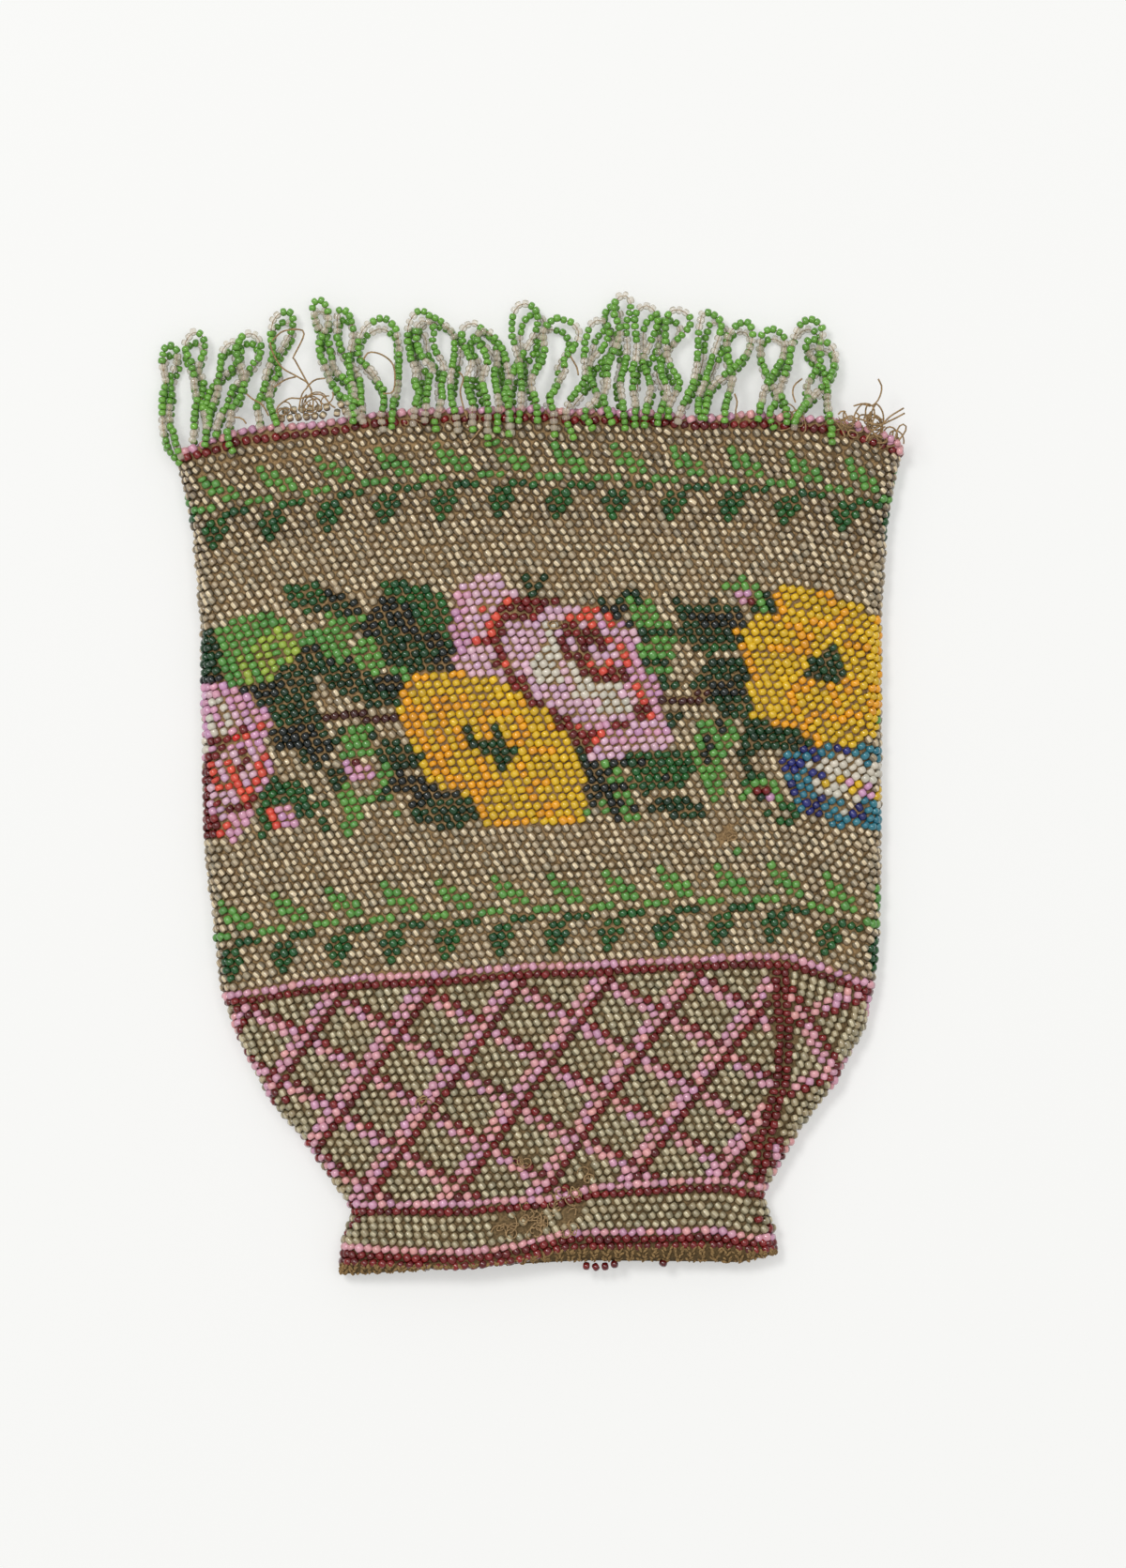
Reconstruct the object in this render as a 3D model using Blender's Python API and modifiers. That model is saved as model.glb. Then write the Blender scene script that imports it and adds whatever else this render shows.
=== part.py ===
"""A knitted glass-bead bag with a looped bead fringe, empty and lying flat with its face up.

The knit is one tube, worked in the round. Here it is cut where its pattern changes, into the mouth edging, the
floral band, the basket lattice band and the foot band. Each has a back that turns up round both side folds, and a
front between them. The front of the pocket lifts at the mouth, so its three upper bands turn together about the neck.
The fringe is strung in clumps of two or three loops, and each clump swings about its own feet at the mouth's edge.

Metres. +Y runs up the bag to its mouth, +X to the right, +Z out of its face. The origin is in the middle of the
underside, on the surface that the bag lies on.
"""

import math

import bmesh
import bpy
from mathutils import Vector

# Knit and clearances
BEAD = 0.002  # diameter of a bead, and of a strand of them
WALL = 0.002  # beads with the knit behind them
GAP = 0.0003  # between pieces that touch

# Heights of the bands, down the middle of the face
EDGING_HEIGHT = 0.0034
FLORAL_HEIGHT = 0.1126
LATTICE_HEIGHT = 0.052
FOOT_HEIGHT = 0.009
BASE_HEIGHT = 0.0031

# Widths of the bag lying flat, over its side folds
MOUTH_WIDTH = 0.156
BODY_WIDTH = 0.1464
LATTICE_WIDTH = 0.1404
NECK_WIDTH = 0.0886
FOOT_WIDTH = 0.094

# Thickness of the bag lying flat, over both walls
MIDDLE_THICKNESS = 0.0096
FOOT_THICKNESS = 0.0084
SIDE_THICKNESS = 0.0066
BASE_INSET = 0.0015  # of the folded base's ends, inside the foot's sides
FOLD_WIDTH = 0.0135  # from the side to the edge of the front that lifts

# How the rounds of knitting lie: how far their middle rises over their ends, and their right end over their left
MOUTH_ARCH = 0.008
LATTICE_ARCH = 0.0055
NECK_SAG = 0.0015  # of their middle under their ends
BASE_ARCH = 0.0017
MOUTH_TILT = 0.002
LATTICE_TILT = 0.001
NECK_TILT = 0.008
BASE_TILT = 0.0032
NECK_DRIFT = 0.004  # of the bag's middle to the right, at its neck
LATTICE_DRIFT = 0.002
FLORAL_DRIFT = 0.0007

# Fringe
LOOP_REACH = 0.0285  # of the longest loop, past the mouth's edge
LOOP_WIDTH = 0.0066  # between the middles of a roomy loop's strands
LOOP_SEAT = 0.0045  # of the front loops' feet, inside the mouth's edge
FRINGE_START = 0.0025  # from the mouth's left side to the first loop of both rows
FRONT_BARE_END = 0.0155  # from the mouth's right side to the last front loop, where loops are lost
BACK_BARE_END = 0.0135
DROP_RUN = 0.0065  # of a front loop, past the edge, as it comes down
RISE_RUN = 0.006  # of a back loop, past the edge, as it climbs over its neighbour
LAYER = BEAD + GAP  # from one layer of strands to the next

# Faces
FRONT_COLUMNS = 14
BACK_COLUMNS = 12
STRIP_COLUMNS = 3
FOLD_COLUMNS = 5
ROUND_COLUMNS = 2 * (STRIP_COLUMNS + FOLD_COLUMNS) + BACK_COLUMNS
ROWS_IN_EDGING = 1
ROWS_IN_FLORAL_BAND = 9
ROWS_IN_LATTICE_BAND = 7
ROWS_IN_FOOT_BAND = 3
BASE_SEGMENTS = 16
BASE_COLUMNS = 12
LOOP_POINTS = 17

# Shares of the way up a band, and of the way from its lower width to its upper width
FOOT_FLARE_SHARES = (0.4, 0.12)
LATTICE_TAPER_SHARES = ((0.29, 0.35), (0.5, 0.64), (0.79, 0.9))
FLORAL_TAPER_SHARES = ((0.09, 0.42), (0.29, 0.87), (0.7, 1))
SHOULDER_SHARES = (0.88, 0.31)
CROWN_POWER = 4  # the face is flat in the middle and falls to the sides
BASE_SQUARENESS_SHARE = 0.55

# The reach of each loop as a share of the longest, clump by clump from the left
FRONT_REACH_SHARES = (
    (0.86, 0.93),
    (0.82, 0.98),
    (1, 0.94),
    (0.88, 0.84),
    (0.84, 0.91, 0.82),
    (0.86, 0.92, 0.83),
    (0.91, 0.95, 0.88),
    (0.87, 0.92),
    (0.82, 0.86),
    (0.84, 0.8),
)
BACK_REACH_SHARES = (
    (0.83, 0.94),
    (0.96, 0.84),
    (0.93, 0.88),
    (0.91, 0.83),
    (0.92, 0.86, 0.9),
    (0.84, 0.9, 0.86),
    (0.92, 0.88, 0.9),
    (0.84, 0.96),
    (0.88, 0.8),
    (0.82, 0.76),
)
FRONT_LEAN_SHARES = (-0.16, 0.07)  # sideways for each length outwards, at the left end and at the right end
BACK_LEAN_SHARES = (-0.2, 0.12)
TIP_SHARE = 0.35  # of a loop's place beside its clump's middle, left at its tip
BELLY_SHARES = (0.26, 0.62)  # of a loop's length, where its belly starts and where it is full
FOOT_POINTS_SHARE = 0.8  # how much closer a strand's points lie towards its feet

# Heights of the lines between the bands, at the middle of the face
KNIT_HEIGHT = EDGING_HEIGHT + FLORAL_HEIGHT + LATTICE_HEIGHT + FOOT_HEIGHT + BASE_HEIGHT
MOUTH_LINE = KNIT_HEIGHT / 2
EDGING_LINE = MOUTH_LINE - EDGING_HEIGHT
LATTICE_LINE = EDGING_LINE - FLORAL_HEIGHT
NECK_LINE = LATTICE_LINE - LATTICE_HEIGHT
FOOT_LINE = NECK_LINE - FOOT_HEIGHT
BASE_LINE = FOOT_LINE - BASE_HEIGHT


def between(low, high, share):
    """The value at a share of the way from low to high."""
    return low + (high - low) * share


def eased(share):
    """A share of a way that starts and ends gently."""
    share = min(max(share, 0), 1)
    return share * share * (3 - 2 * share)


def width_stations():
    """Pairs of a line's height and the bag's width there, from the base up."""
    stations = [(BASE_LINE, FOOT_WIDTH), (FOOT_LINE, FOOT_WIDTH)]
    up, wide = FOOT_FLARE_SHARES
    stations.append((between(FOOT_LINE, NECK_LINE, up), between(FOOT_WIDTH, NECK_WIDTH, wide)))
    stations.append((NECK_LINE, NECK_WIDTH))
    for up, wide in LATTICE_TAPER_SHARES:
        stations.append((between(NECK_LINE, LATTICE_LINE, up), between(NECK_WIDTH, LATTICE_WIDTH, wide)))
    stations.append((LATTICE_LINE, LATTICE_WIDTH))
    for up, wide in FLORAL_TAPER_SHARES:
        stations.append((between(LATTICE_LINE, EDGING_LINE, up), between(LATTICE_WIDTH, BODY_WIDTH, wide)))
    up, wide = SHOULDER_SHARES
    stations.append((between(LATTICE_LINE, EDGING_LINE, up), between(BODY_WIDTH, MOUTH_WIDTH, wide)))
    stations.append((MOUTH_LINE, MOUTH_WIDTH))
    return stations


WIDTHS = width_stations()
DRIFTS = [
    (BASE_LINE, NECK_DRIFT),
    (NECK_LINE, NECK_DRIFT),
    (LATTICE_LINE, LATTICE_DRIFT),
    (between(LATTICE_LINE, EDGING_LINE, FLORAL_TAPER_SHARES[1][0]), FLORAL_DRIFT),
    (MOUTH_LINE, 0),
]
ARCHES = [(BASE_LINE, BASE_ARCH), (NECK_LINE, -NECK_SAG), (LATTICE_LINE, LATTICE_ARCH), (MOUTH_LINE, MOUTH_ARCH)]
TILTS = [(BASE_LINE, BASE_TILT), (NECK_LINE, NECK_TILT), (LATTICE_LINE, LATTICE_TILT), (MOUTH_LINE, MOUTH_TILT)]
THICKNESSES = [
    (BASE_LINE, FOOT_THICKNESS),
    (NECK_LINE, FOOT_THICKNESS),
    (LATTICE_LINE, MIDDLE_THICKNESS),
    (MOUTH_LINE, MIDDLE_THICKNESS),
]


def steepness(stations, i):
    """The slope of the smooth curve at its station i."""
    before, after = stations[max(i - 1, 0)], stations[min(i + 1, len(stations) - 1)]
    return (after[1] - before[1]) / (after[0] - before[0])


def smooth(stations, place):
    """The value at a place on a smooth curve through stations, which are pairs of a place and a value."""
    i = 0
    while i < len(stations) - 2 and place > stations[i + 1][0]:
        i += 1
    (start, low), (end, high) = stations[i], stations[i + 1]
    run = end - start
    share = (place - start) / run
    slope = (high - low) / run
    bend = (1 - share) * (steepness(stations, i) - slope) - share * (steepness(stations, i + 1) - slope)
    return between(low, high, share) + bend * share * (1 - share) * run


def half_width(line):
    return smooth(WIDTHS, line) / 2


def placed(line, x, z):
    """The point at x from the bag's middle on the round of knitting whose middle is at that line."""
    across = x / half_width(line)
    y = line - smooth(ARCHES, line) * across**2 + smooth(TILTS, line) / 2 * across
    return Vector((x + smooth(DRIFTS, line), y, z))


def face_height(line, x):
    """The height of the bag's face over the surface that it lies on."""
    across = min(abs(x) / (half_width(line) - SIDE_THICKNESS / 2), 1)
    return between(smooth(THICKNESSES, line), SIDE_THICKNESS, across**CROWN_POWER)


def on_face(line, x):
    return placed(line, x, face_height(line, x))


def front_point(line, share):
    """A point of the front's face: share runs from 0 at its left edge to 1 at its right edge."""
    return on_face(line, between(-1, 1, share) * (half_width(line) - FOLD_WIDTH - GAP / 2))


def back_point(line, share):
    """A point of the outside of the back: share runs from the right strip's edge, round the right fold, across the
    underside, round the left fold and to the left strip's edge."""
    radius = SIDE_THICKNESS / 2
    corner = half_width(line) - radius
    side = -1 if share > 1 / 2 else 1
    column = ROUND_COLUMNS * min(share, 1 - share)
    if column <= STRIP_COLUMNS:
        x = between(half_width(line) - FOLD_WIDTH + GAP / 2, corner, column / STRIP_COLUMNS)
        return on_face(line, side * x)
    if column <= STRIP_COLUMNS + FOLD_COLUMNS:
        turn = math.pi * (column - STRIP_COLUMNS) / FOLD_COLUMNS
        return placed(line, side * (corner + radius * math.sin(turn)), radius + radius * math.cos(turn))
    x = corner * (1 - 2 * (column - STRIP_COLUMNS - FOLD_COLUMNS) / BACK_COLUMNS)
    return placed(line, side * x, 0)


def finish(name, colour, roughness):
    """A plain material of one colour."""
    material = bpy.data.materials.new(name)
    material.use_nodes = True
    shader = material.node_tree.nodes["Principled BSDF"]
    shader.inputs["Base Color"].default_value = (*colour, 1)
    shader.inputs["Roughness"].default_value = roughness
    shader.inputs["Metallic"].default_value = 0
    material.diffuse_color = (*colour, 1)
    return material


def pivot(name, place, parent=None):
    """An empty on a joint's axis, for the pieces that turn there."""
    empty = bpy.data.objects.new(name, None)
    empty.empty_display_size = LOOP_SEAT
    empty.location = place - parent["place"] if parent else place
    empty.parent = parent["empty"] if parent else None
    bag.objects.link(empty)
    return {"empty": empty, "place": place}


def keep(name, data, carrier, material):
    """An object in the bag's collection, parented to its pivot."""
    data.materials.append(material)
    piece = bpy.data.objects.new(name, data)
    piece.parent = carrier["empty"]
    bag.objects.link(piece)
    return piece


def add_band(name, point, top, bottom, columns, rows, carrier, material):
    """A band of the knit: a grid laid on the bag's outside from one line down to another, with a wall inwards."""
    grid = bmesh.new()
    bmesh.ops.create_grid(grid, x_segments=columns, y_segments=rows, size=1)
    for vertex in grid.verts:
        line = between(bottom + GAP / 2, top - GAP / 2, (vertex.co.y + 1) / 2)
        vertex.co = point(line, (vertex.co.x + 1) / 2) - carrier["place"]
    mesh = bpy.data.meshes.new(name)
    grid.to_mesh(mesh)
    grid.free()
    band = keep(name, mesh, carrier, material)
    wall = band.modifiers.new("wall", "SOLIDIFY")
    wall.thickness = WALL
    wall.offset = -1
    wall.use_even_offset = True


def squared(share):
    """A sine or cosine pushed outwards, which turns a circle into a rounded square."""
    return math.copysign(abs(share) ** BASE_SQUARENESS_SHARE, share)


def add_base(name, carrier, material):
    """The bare knitted base, folded flat: a drum laid across the foot and pressed square to the walls that it closes."""
    drum = bmesh.new()
    bmesh.ops.create_cone(drum, cap_ends=True, segments=BASE_SEGMENTS, radius1=1, radius2=1, depth=2)
    lengthways = [edge for edge in drum.edges if abs(edge.verts[0].co.z - edge.verts[1].co.z) > 1]
    bmesh.ops.subdivide_edges(drum, edges=lengthways, cuts=BASE_COLUMNS - 1)
    radius = SIDE_THICKNESS / 2
    for vertex in drum.verts:
        top = FOOT_LINE - 2 * GAP * (1 + vertex.co.z**CROWN_POWER)
        line = between(BASE_LINE, top, (1 + squared(vertex.co.x)) / 2)
        x = vertex.co.z * (half_width(line) - BASE_INSET)
        past_corner = max(abs(x) - half_width(line) + radius, 0)
        inset = radius - math.sqrt(radius**2 - past_corner**2)
        z = between(inset, face_height(line, x) - inset, (1 + squared(vertex.co.y)) / 2)
        vertex.co = placed(line, x, z) - carrier["place"]
    mesh = bpy.data.meshes.new(name)
    drum.to_mesh(mesh)
    drum.free()
    keep(name, mesh, carrier, material)


def fullness(out):
    """How full a loop's belly is at a share of its reach."""
    return eased((out - BELLY_SHARES[0]) / (BELLY_SHARES[1] - BELLY_SHARES[0]))


def middle_share(out):
    """How much of its place beside the clump's middle a loop keeps at a share of its reach."""
    return 1 - (1 - TIP_SHARE) * out**2


def belly_width(aside, feet_gap, room):
    """The loop's width at its belly, or the widest that keeps its strands within room of its clump's middle."""
    widths = [LOOP_WIDTH]
    for i in range(1, LOOP_POINTS):
        out = i / LOOP_POINTS
        full, strand = fullness(out), math.sqrt(1 - out**2)
        if full > 0:
            spare = room - aside * middle_share(out) - (1 - full) * strand * feet_gap / 2
            widths.append(2 * spare / (full * strand))
    return min(widths)


def loop_route(seat, loop):
    """The middle of a loop's strand, from its left foot round to its right foot.

    seat holds the middle of the clump's feet, the ways out and along the edge, the clump's lean, and where its loops
    start and stop changing height. loop holds the loop's place beside that middle, the distance between its feet, its
    reach, its belly, and the height at which it lies.
    """
    across = Vector((seat["along"].x, seat["along"].y, 0))
    for i in range(LOOP_POINTS):
        share = i / (LOOP_POINTS - 1)
        turn = math.pi * between(share, eased(share), FOOT_POINTS_SHARE)
        way = loop["reach"] * math.sin(turn)
        out = way / loop["reach"]
        strand = math.cos(turn) * between(loop["feet_gap"], loop["belly"], fullness(out)) / 2
        sideways = loop["aside"] * middle_share(out) - strand + seat["lean"] * way
        place = seat["middle"] + seat["out"] * way + across * sideways
        foot_height = seat["middle"].z + seat["along"].z * (loop["aside"] - math.cos(turn) * loop["feet_gap"] / 2)
        settled = eased((way - seat["start"]) / seat["run"])
        place.z = between(foot_height, loop["height"], settled)
        yield place


def add_loop(name, route, carrier, material):
    """A loop of the fringe: a strand of beads along its route."""
    curve = bpy.data.curves.new(name, "CURVE")
    curve.dimensions = "3D"
    curve.bevel_depth = BEAD / 2
    curve.bevel_resolution = 1
    curve.use_fill_caps = True
    places = [place - carrier["place"] for place in route]
    spline = curve.splines.new("POLY")
    spline.points.add(len(places) - 1)
    for point, place in zip(spline.points, places):
        point.co = (*place, 1)
    keep(name, curve, carrier, material)


def add_clump(side, number, first, ends, reaches, seat, heights, parent, material):
    """A clump of loops that swing together about the line of their feet, which runs between its two ends."""
    left, right = ends
    room = (right - left).length / 2
    along = (right - left).normalized()
    seat["middle"], seat["along"] = (left + right) / 2, along
    seat["out"] = Vector((-along.y, along.x, 0)).normalized()
    feet_gap = 2 * room / (2 * len(reaches) - 1)
    axis = seat["middle"] - Vector((0, 0, seat["axis_depth"]))
    hinge = pivot(f"{side}_clump_{number + 1:02d}_hinge", axis, parent)
    for j, reach in enumerate(reaches):
        aside = (2 * j + 1 / 2) * feet_gap - room
        loop = {
            "aside": aside,
            "feet_gap": feet_gap,
            "reach": reach,
            "belly": belly_width(abs(aside), feet_gap, room),
            "height": heights[(number + j) % 2],
        }
        add_loop(f"{side}_loop_{first + j + 1:02d}", loop_route(seat, loop), hinge, material)


def clump_edges(left, right, count):
    """The ends of count equal clumps between left and right, with room for a strand and a gap between them."""
    pitch = (right - left) / count
    inset = (BEAD + GAP) / 2
    return [(left + i * pitch + inset, left + (i + 1) * pitch - inset) for i in range(count)]


def add_front_fringe(material):
    """The front row: the first clump is on the left strip, and the others are on the front that lifts."""
    strip_edge = FOLD_WIDTH - half_width(MOUTH_LINE)
    edges = clump_edges(FRINGE_START - MOUTH_WIDTH / 2, strip_edge, 1)
    edges += clump_edges(strip_edge, MOUTH_WIDTH / 2 - FRONT_BARE_END, len(FRONT_REACH_SHARES) - 1)
    heights = (BEAD / 2 + 2 * LAYER, BEAD / 2 + 3 * LAYER)
    lift = Vector((0, 0, BEAD / 2 + 2 * GAP))
    line = MOUTH_LINE - LOOP_SEAT
    first = 0
    for number, (edge, shares) in enumerate(zip(edges, FRONT_REACH_SHARES)):
        ends = [on_face(line, x) + lift for x in edge]
        reaches = [LOOP_SEAT + share * LOOP_REACH for share in shares]
        lean = between(*FRONT_LEAN_SHARES, number / (len(edges) - 1))
        seat = {"lean": lean, "start": LOOP_SEAT + BEAD / 2, "run": DROP_RUN, "axis_depth": 0}
        parent = front_hinge if number else underside
        add_clump("front", number, first, ends, reaches, seat, heights, parent, material)
        first += len(shares)


def add_back_fringe(material):
    """The back row, which lies on the surface under the front row and swings down from the underside's edge."""
    right = MOUTH_WIDTH / 2 - BACK_BARE_END
    edges = clump_edges(FRINGE_START - MOUTH_WIDTH / 2, right, len(BACK_REACH_SHARES))
    heights = (BEAD / 2, BEAD / 2 + LAYER)
    first = 0
    for number, (edge, shares) in enumerate(zip(edges, BACK_REACH_SHARES)):
        ends = [placed(MOUTH_LINE, x, BEAD / 2) + Vector((0, 2 * GAP, 0)) for x in edge]
        reaches = [share * LOOP_REACH for share in shares]
        lean = between(*BACK_LEAN_SHARES, number / (len(edges) - 1))
        seat = {"lean": lean, "start": 0, "run": RISE_RUN, "axis_depth": BEAD / 2}
        add_clump("back", number, first, ends, reaches, seat, heights, underside, material)
        first += len(shares)


for old in list(bpy.data.objects):
    bpy.data.objects.remove(old)

bag = bpy.data.collections.new("beaded_bag")
bpy.context.scene.collection.children.link(bag)

pink = finish("pink_and_garnet_beads", (0.52, 0.12, 0.17), 0.2)
floral = finish("floral_beads", (0.42, 0.33, 0.2), 0.2)
lattice = finish("clear_and_garnet_beads", (0.5, 0.36, 0.26), 0.2)
foot = finish("clear_beads", (0.56, 0.45, 0.32), 0.2)
knit = finish("tan_knit", (0.5, 0.37, 0.22), 0.85)
fringe = finish("green_and_clear_beads", (0.3, 0.42, 0.22), 0.2)

underside = pivot("underside_rest", Vector((0, 0, 0)))
front_hinge = pivot("front_hinge", on_face(NECK_LINE, 0))

BANDS = (
    ("mouth_edging", MOUTH_LINE, EDGING_LINE, ROWS_IN_EDGING, front_hinge, pink),
    ("floral_band", EDGING_LINE, LATTICE_LINE, ROWS_IN_FLORAL_BAND, front_hinge, floral),
    ("lattice_band", LATTICE_LINE, NECK_LINE, ROWS_IN_LATTICE_BAND, front_hinge, lattice),
    ("foot_band", NECK_LINE, FOOT_LINE, ROWS_IN_FOOT_BAND, underside, foot),
)
for name, top, bottom, rows, front_carrier, material in BANDS:
    add_band(name + "_front", front_point, top, bottom, FRONT_COLUMNS, rows, front_carrier, material)
    add_band(name + "_back", back_point, top, bottom, ROUND_COLUMNS, rows, underside, material)
add_base("knitted_base", underside, knit)
add_front_fringe(fringe)
add_back_fringe(fringe)
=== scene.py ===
# %% [markdown]
# # A knitted glass-bead bag with a looped bead fringe
#
# The bag lies flat and empty with its face up. It is one knitted tube: 150 stitches round, 107 rounds from
# the pink and garnet edge of the mouth to the last garnet round over the bare knitted base. Every stitch
# carries a bead, so each bead is placed by its round and by how far it lies round the tube.

# %%
import math

import bmesh
import bpy
import numpy as np
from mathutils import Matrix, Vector


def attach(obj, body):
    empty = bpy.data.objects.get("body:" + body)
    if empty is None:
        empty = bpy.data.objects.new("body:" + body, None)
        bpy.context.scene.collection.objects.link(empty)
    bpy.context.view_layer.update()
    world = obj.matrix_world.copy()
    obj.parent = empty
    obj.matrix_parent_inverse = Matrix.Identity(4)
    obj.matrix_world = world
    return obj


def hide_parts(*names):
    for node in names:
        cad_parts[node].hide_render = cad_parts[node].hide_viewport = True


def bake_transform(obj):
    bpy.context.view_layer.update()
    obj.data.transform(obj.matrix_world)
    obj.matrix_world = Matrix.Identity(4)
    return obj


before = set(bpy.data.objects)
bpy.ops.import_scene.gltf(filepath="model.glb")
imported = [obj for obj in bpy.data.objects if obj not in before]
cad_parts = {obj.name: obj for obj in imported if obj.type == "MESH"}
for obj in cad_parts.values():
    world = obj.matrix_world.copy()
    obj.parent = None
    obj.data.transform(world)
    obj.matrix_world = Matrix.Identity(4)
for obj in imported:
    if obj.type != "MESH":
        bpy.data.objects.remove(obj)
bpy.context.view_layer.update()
chance = np.random.default_rng(7)

# %% [markdown]
# ## Sizes
# The same lines and widths as the part's. Places read off the photograph are given in its pixels, and one
# pixel is 0.2 mm of the bag.

# %%
MM = 0.001
PIXEL = 0.2 * MM
MIDDLE_X = 575.0  # photo pixel over the frame's x = 0
MIDDLE_Y = 895.25  # photo pixel over the frame's y = 0

BEAD = 1.94 * MM  # across the hole
BEAD_LENGTH = 1.38 * MM  # along the hole
FRINGE_BEAD = 1.72 * MM
FRINGE_STEP = 1.42 * MM
SIDE_RADIUS = 3.3 * MM  # of the side folds
FOLD_WIDTH = 13.5 * MM  # from the side to the edge of the front that lifts
STITCHES = 150
FOOT_STITCHES = 100
LEAN_PER_ROUND = 0.345  # how many stitches the columns lean right in one round down
HOLE_LEAN = math.radians(30)  # of the holes, off upright
CLEAR_LEAN = math.radians(12)  # more, of the clear beads' holes

# line's height at the middle, the bag's width, its drift right, its thickness, all in millimetres
LINES = np.array([-90.05, -86.95, -83.35, -77.95, -62.9, -51.95, -36.9, -25.95, -15.8, 6.7, 52.9, 73.1,
                  90.05])
WIDTHS = np.array([94, 94, 93.4, 88.6, 106.7, 121.8, 135.2, 140.4, 142.9, 145.6, 146.4, 149.4, 156])
DRIFTS = np.array([4, 4, 4, 4, 3.1, 2.6, 2.5, 1.9, 1.7, 0.6, 0.3, 0.1, 0])
THICKS = np.array([8.4, 8.4, 8.4, 8.4, 8.8, 9.0, 9.3, 9.6, 9.6, 9.6, 9.6, 9.6, 9.6])


def along_line(values, line):
    return np.interp(line, LINES * MM, values * MM)


# %% [markdown]
# ## The rounds of knitting
# Key rounds are followed across the photograph, and the rounds between them are shared out evenly.

# %%
KEY_ROUNDS = {
    1: [(195, 488), (230, 478), (255, 470), (290, 466), (345, 461), (400, 451), (480, 446.5), (562, 445),
        (600, 447.5), (650, 448), (704, 450), (743, 455), (800, 451), (850, 455), (893, 458), (929, 469),
        (958, 481)],
    4: [(208, 510), (272, 500), (336, 490), (397, 480), (464, 475), (528, 471), (597, 475), (660, 475),
        (721, 478), (785, 479), (847, 483.5), (909, 490), (950, 499)],
    59: [(239, 963), (295, 954), (355, 948.6), (413, 943), (472, 940), (560, 934), (620, 932), (700, 927),
        (790, 923), (835, 922), (868, 929), (900, 938), (930, 946)],
    70: [(245, 1061), (290, 1055), (330, 1047), (395, 1041.5), (480, 1037.5), (560, 1030), (620, 1029.5),
        (700, 1024), (790, 1020), (835, 1018.5), (868, 1028), (900, 1040), (930, 1050)],
    99: [(380, 1284.5), (450, 1283.4), (500, 1283.5), (530, 1280), (560, 1279), (578, 1278), (600, 1276),
        (630, 1266), (680, 1262.5), (728, 1259), (770, 1258), (800, 1264)],
    105: [(372, 1331), (420, 1333), (480, 1335.5), (510, 1334), (540, 1330), (577, 1321), (600, 1314.5),
        (640, 1314), (700, 1313), (750, 1311.5), (780, 1314), (800, 1320), (829, 1320)],
    107: [(372, 1346), (420, 1348), (480, 1350.5), (510, 1349), (540, 1345), (577, 1336), (600, 1329.5),
        (640, 1329), (700, 1328), (750, 1326.5), (780, 1329), (800, 1333), (829, 1332)],
    110: [(357, 1359), (400, 1358), (450, 1354), (575, 1346), (597, 1344.5), (728, 1344), (790, 1347),
        (828, 1337)],
}
ACROSS_STEP = 5.0
ACROSS = np.arange(160.0, 1000.0, ACROSS_STEP)
KEYS = sorted(KEY_ROUNDS)


def followed(stations):
    """The round's height in the photo at each place of ACROSS: past its ends it goes on half as steeply."""
    xs, ys = np.array(stations, float).T
    slopes = np.diff(ys) / np.diff(xs)
    heights = np.interp(ACROSS, xs, ys)
    heights += np.minimum(ACROSS - xs[0], 0) * slopes[0] * 0.5
    heights += np.maximum(ACROSS - xs[-1], 0) * slopes[-1] * 0.5
    return np.convolve(np.pad(heights, 2, mode="edge"), np.ones(5) / 5, mode="valid")


ROUND_CURVES = np.array([followed(KEY_ROUNDS[key]) for key in KEYS])


def photo_height(rounds, x_pixel):
    """How far down the photo a round lies at a place across it."""
    rounds = np.asarray(rounds, float)
    upper = np.clip(np.searchsorted(KEYS, rounds, side="right") - 1, 0, len(KEYS) - 2)
    start = np.array(KEYS)[upper]
    end = np.array(KEYS)[upper + 1]
    share = (rounds - start) / (end - start)
    column = np.clip((x_pixel - ACROSS[0]) / ACROSS_STEP, 0, len(ACROSS) - 1.001)
    left = column.astype(int)
    part = column - left
    above = ROUND_CURVES[upper, left] * (1 - part) + ROUND_CURVES[upper, left + 1] * part
    below = ROUND_CURVES[upper + 1, left] * (1 - part) + ROUND_CURVES[upper + 1, left + 1] * part
    return above + (below - above) * share


def to_pixel_x(x):
    return x / PIXEL + MIDDLE_X


def to_x(pixel):
    return (pixel - MIDDLE_X) * PIXEL


def to_y(pixel):
    return (MIDDLE_Y - pixel) * PIXEL


LAST_ROUND = 110
ROUND_TABLE = np.arange(0.0, LAST_ROUND + 0.5, 0.5)
FACE_MIDDLE = MIDDLE_X + 8  # photo pixel of the middle of the face
ROUND_LINES = to_y(photo_height(ROUND_TABLE, np.full(len(ROUND_TABLE), FACE_MIDDLE)))


def line_of(rounds):
    """The height of a round at the middle of the face."""
    return np.interp(rounds, ROUND_TABLE, ROUND_LINES)


def half_width(rounds):
    return along_line(WIDTHS, line_of(rounds)) / 2


def half_girth(rounds):
    """The way round the tube from the middle of the face to the middle of the back."""
    return 2 * (half_width(rounds) - SIDE_RADIUS) + math.pi * SIDE_RADIUS


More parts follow.
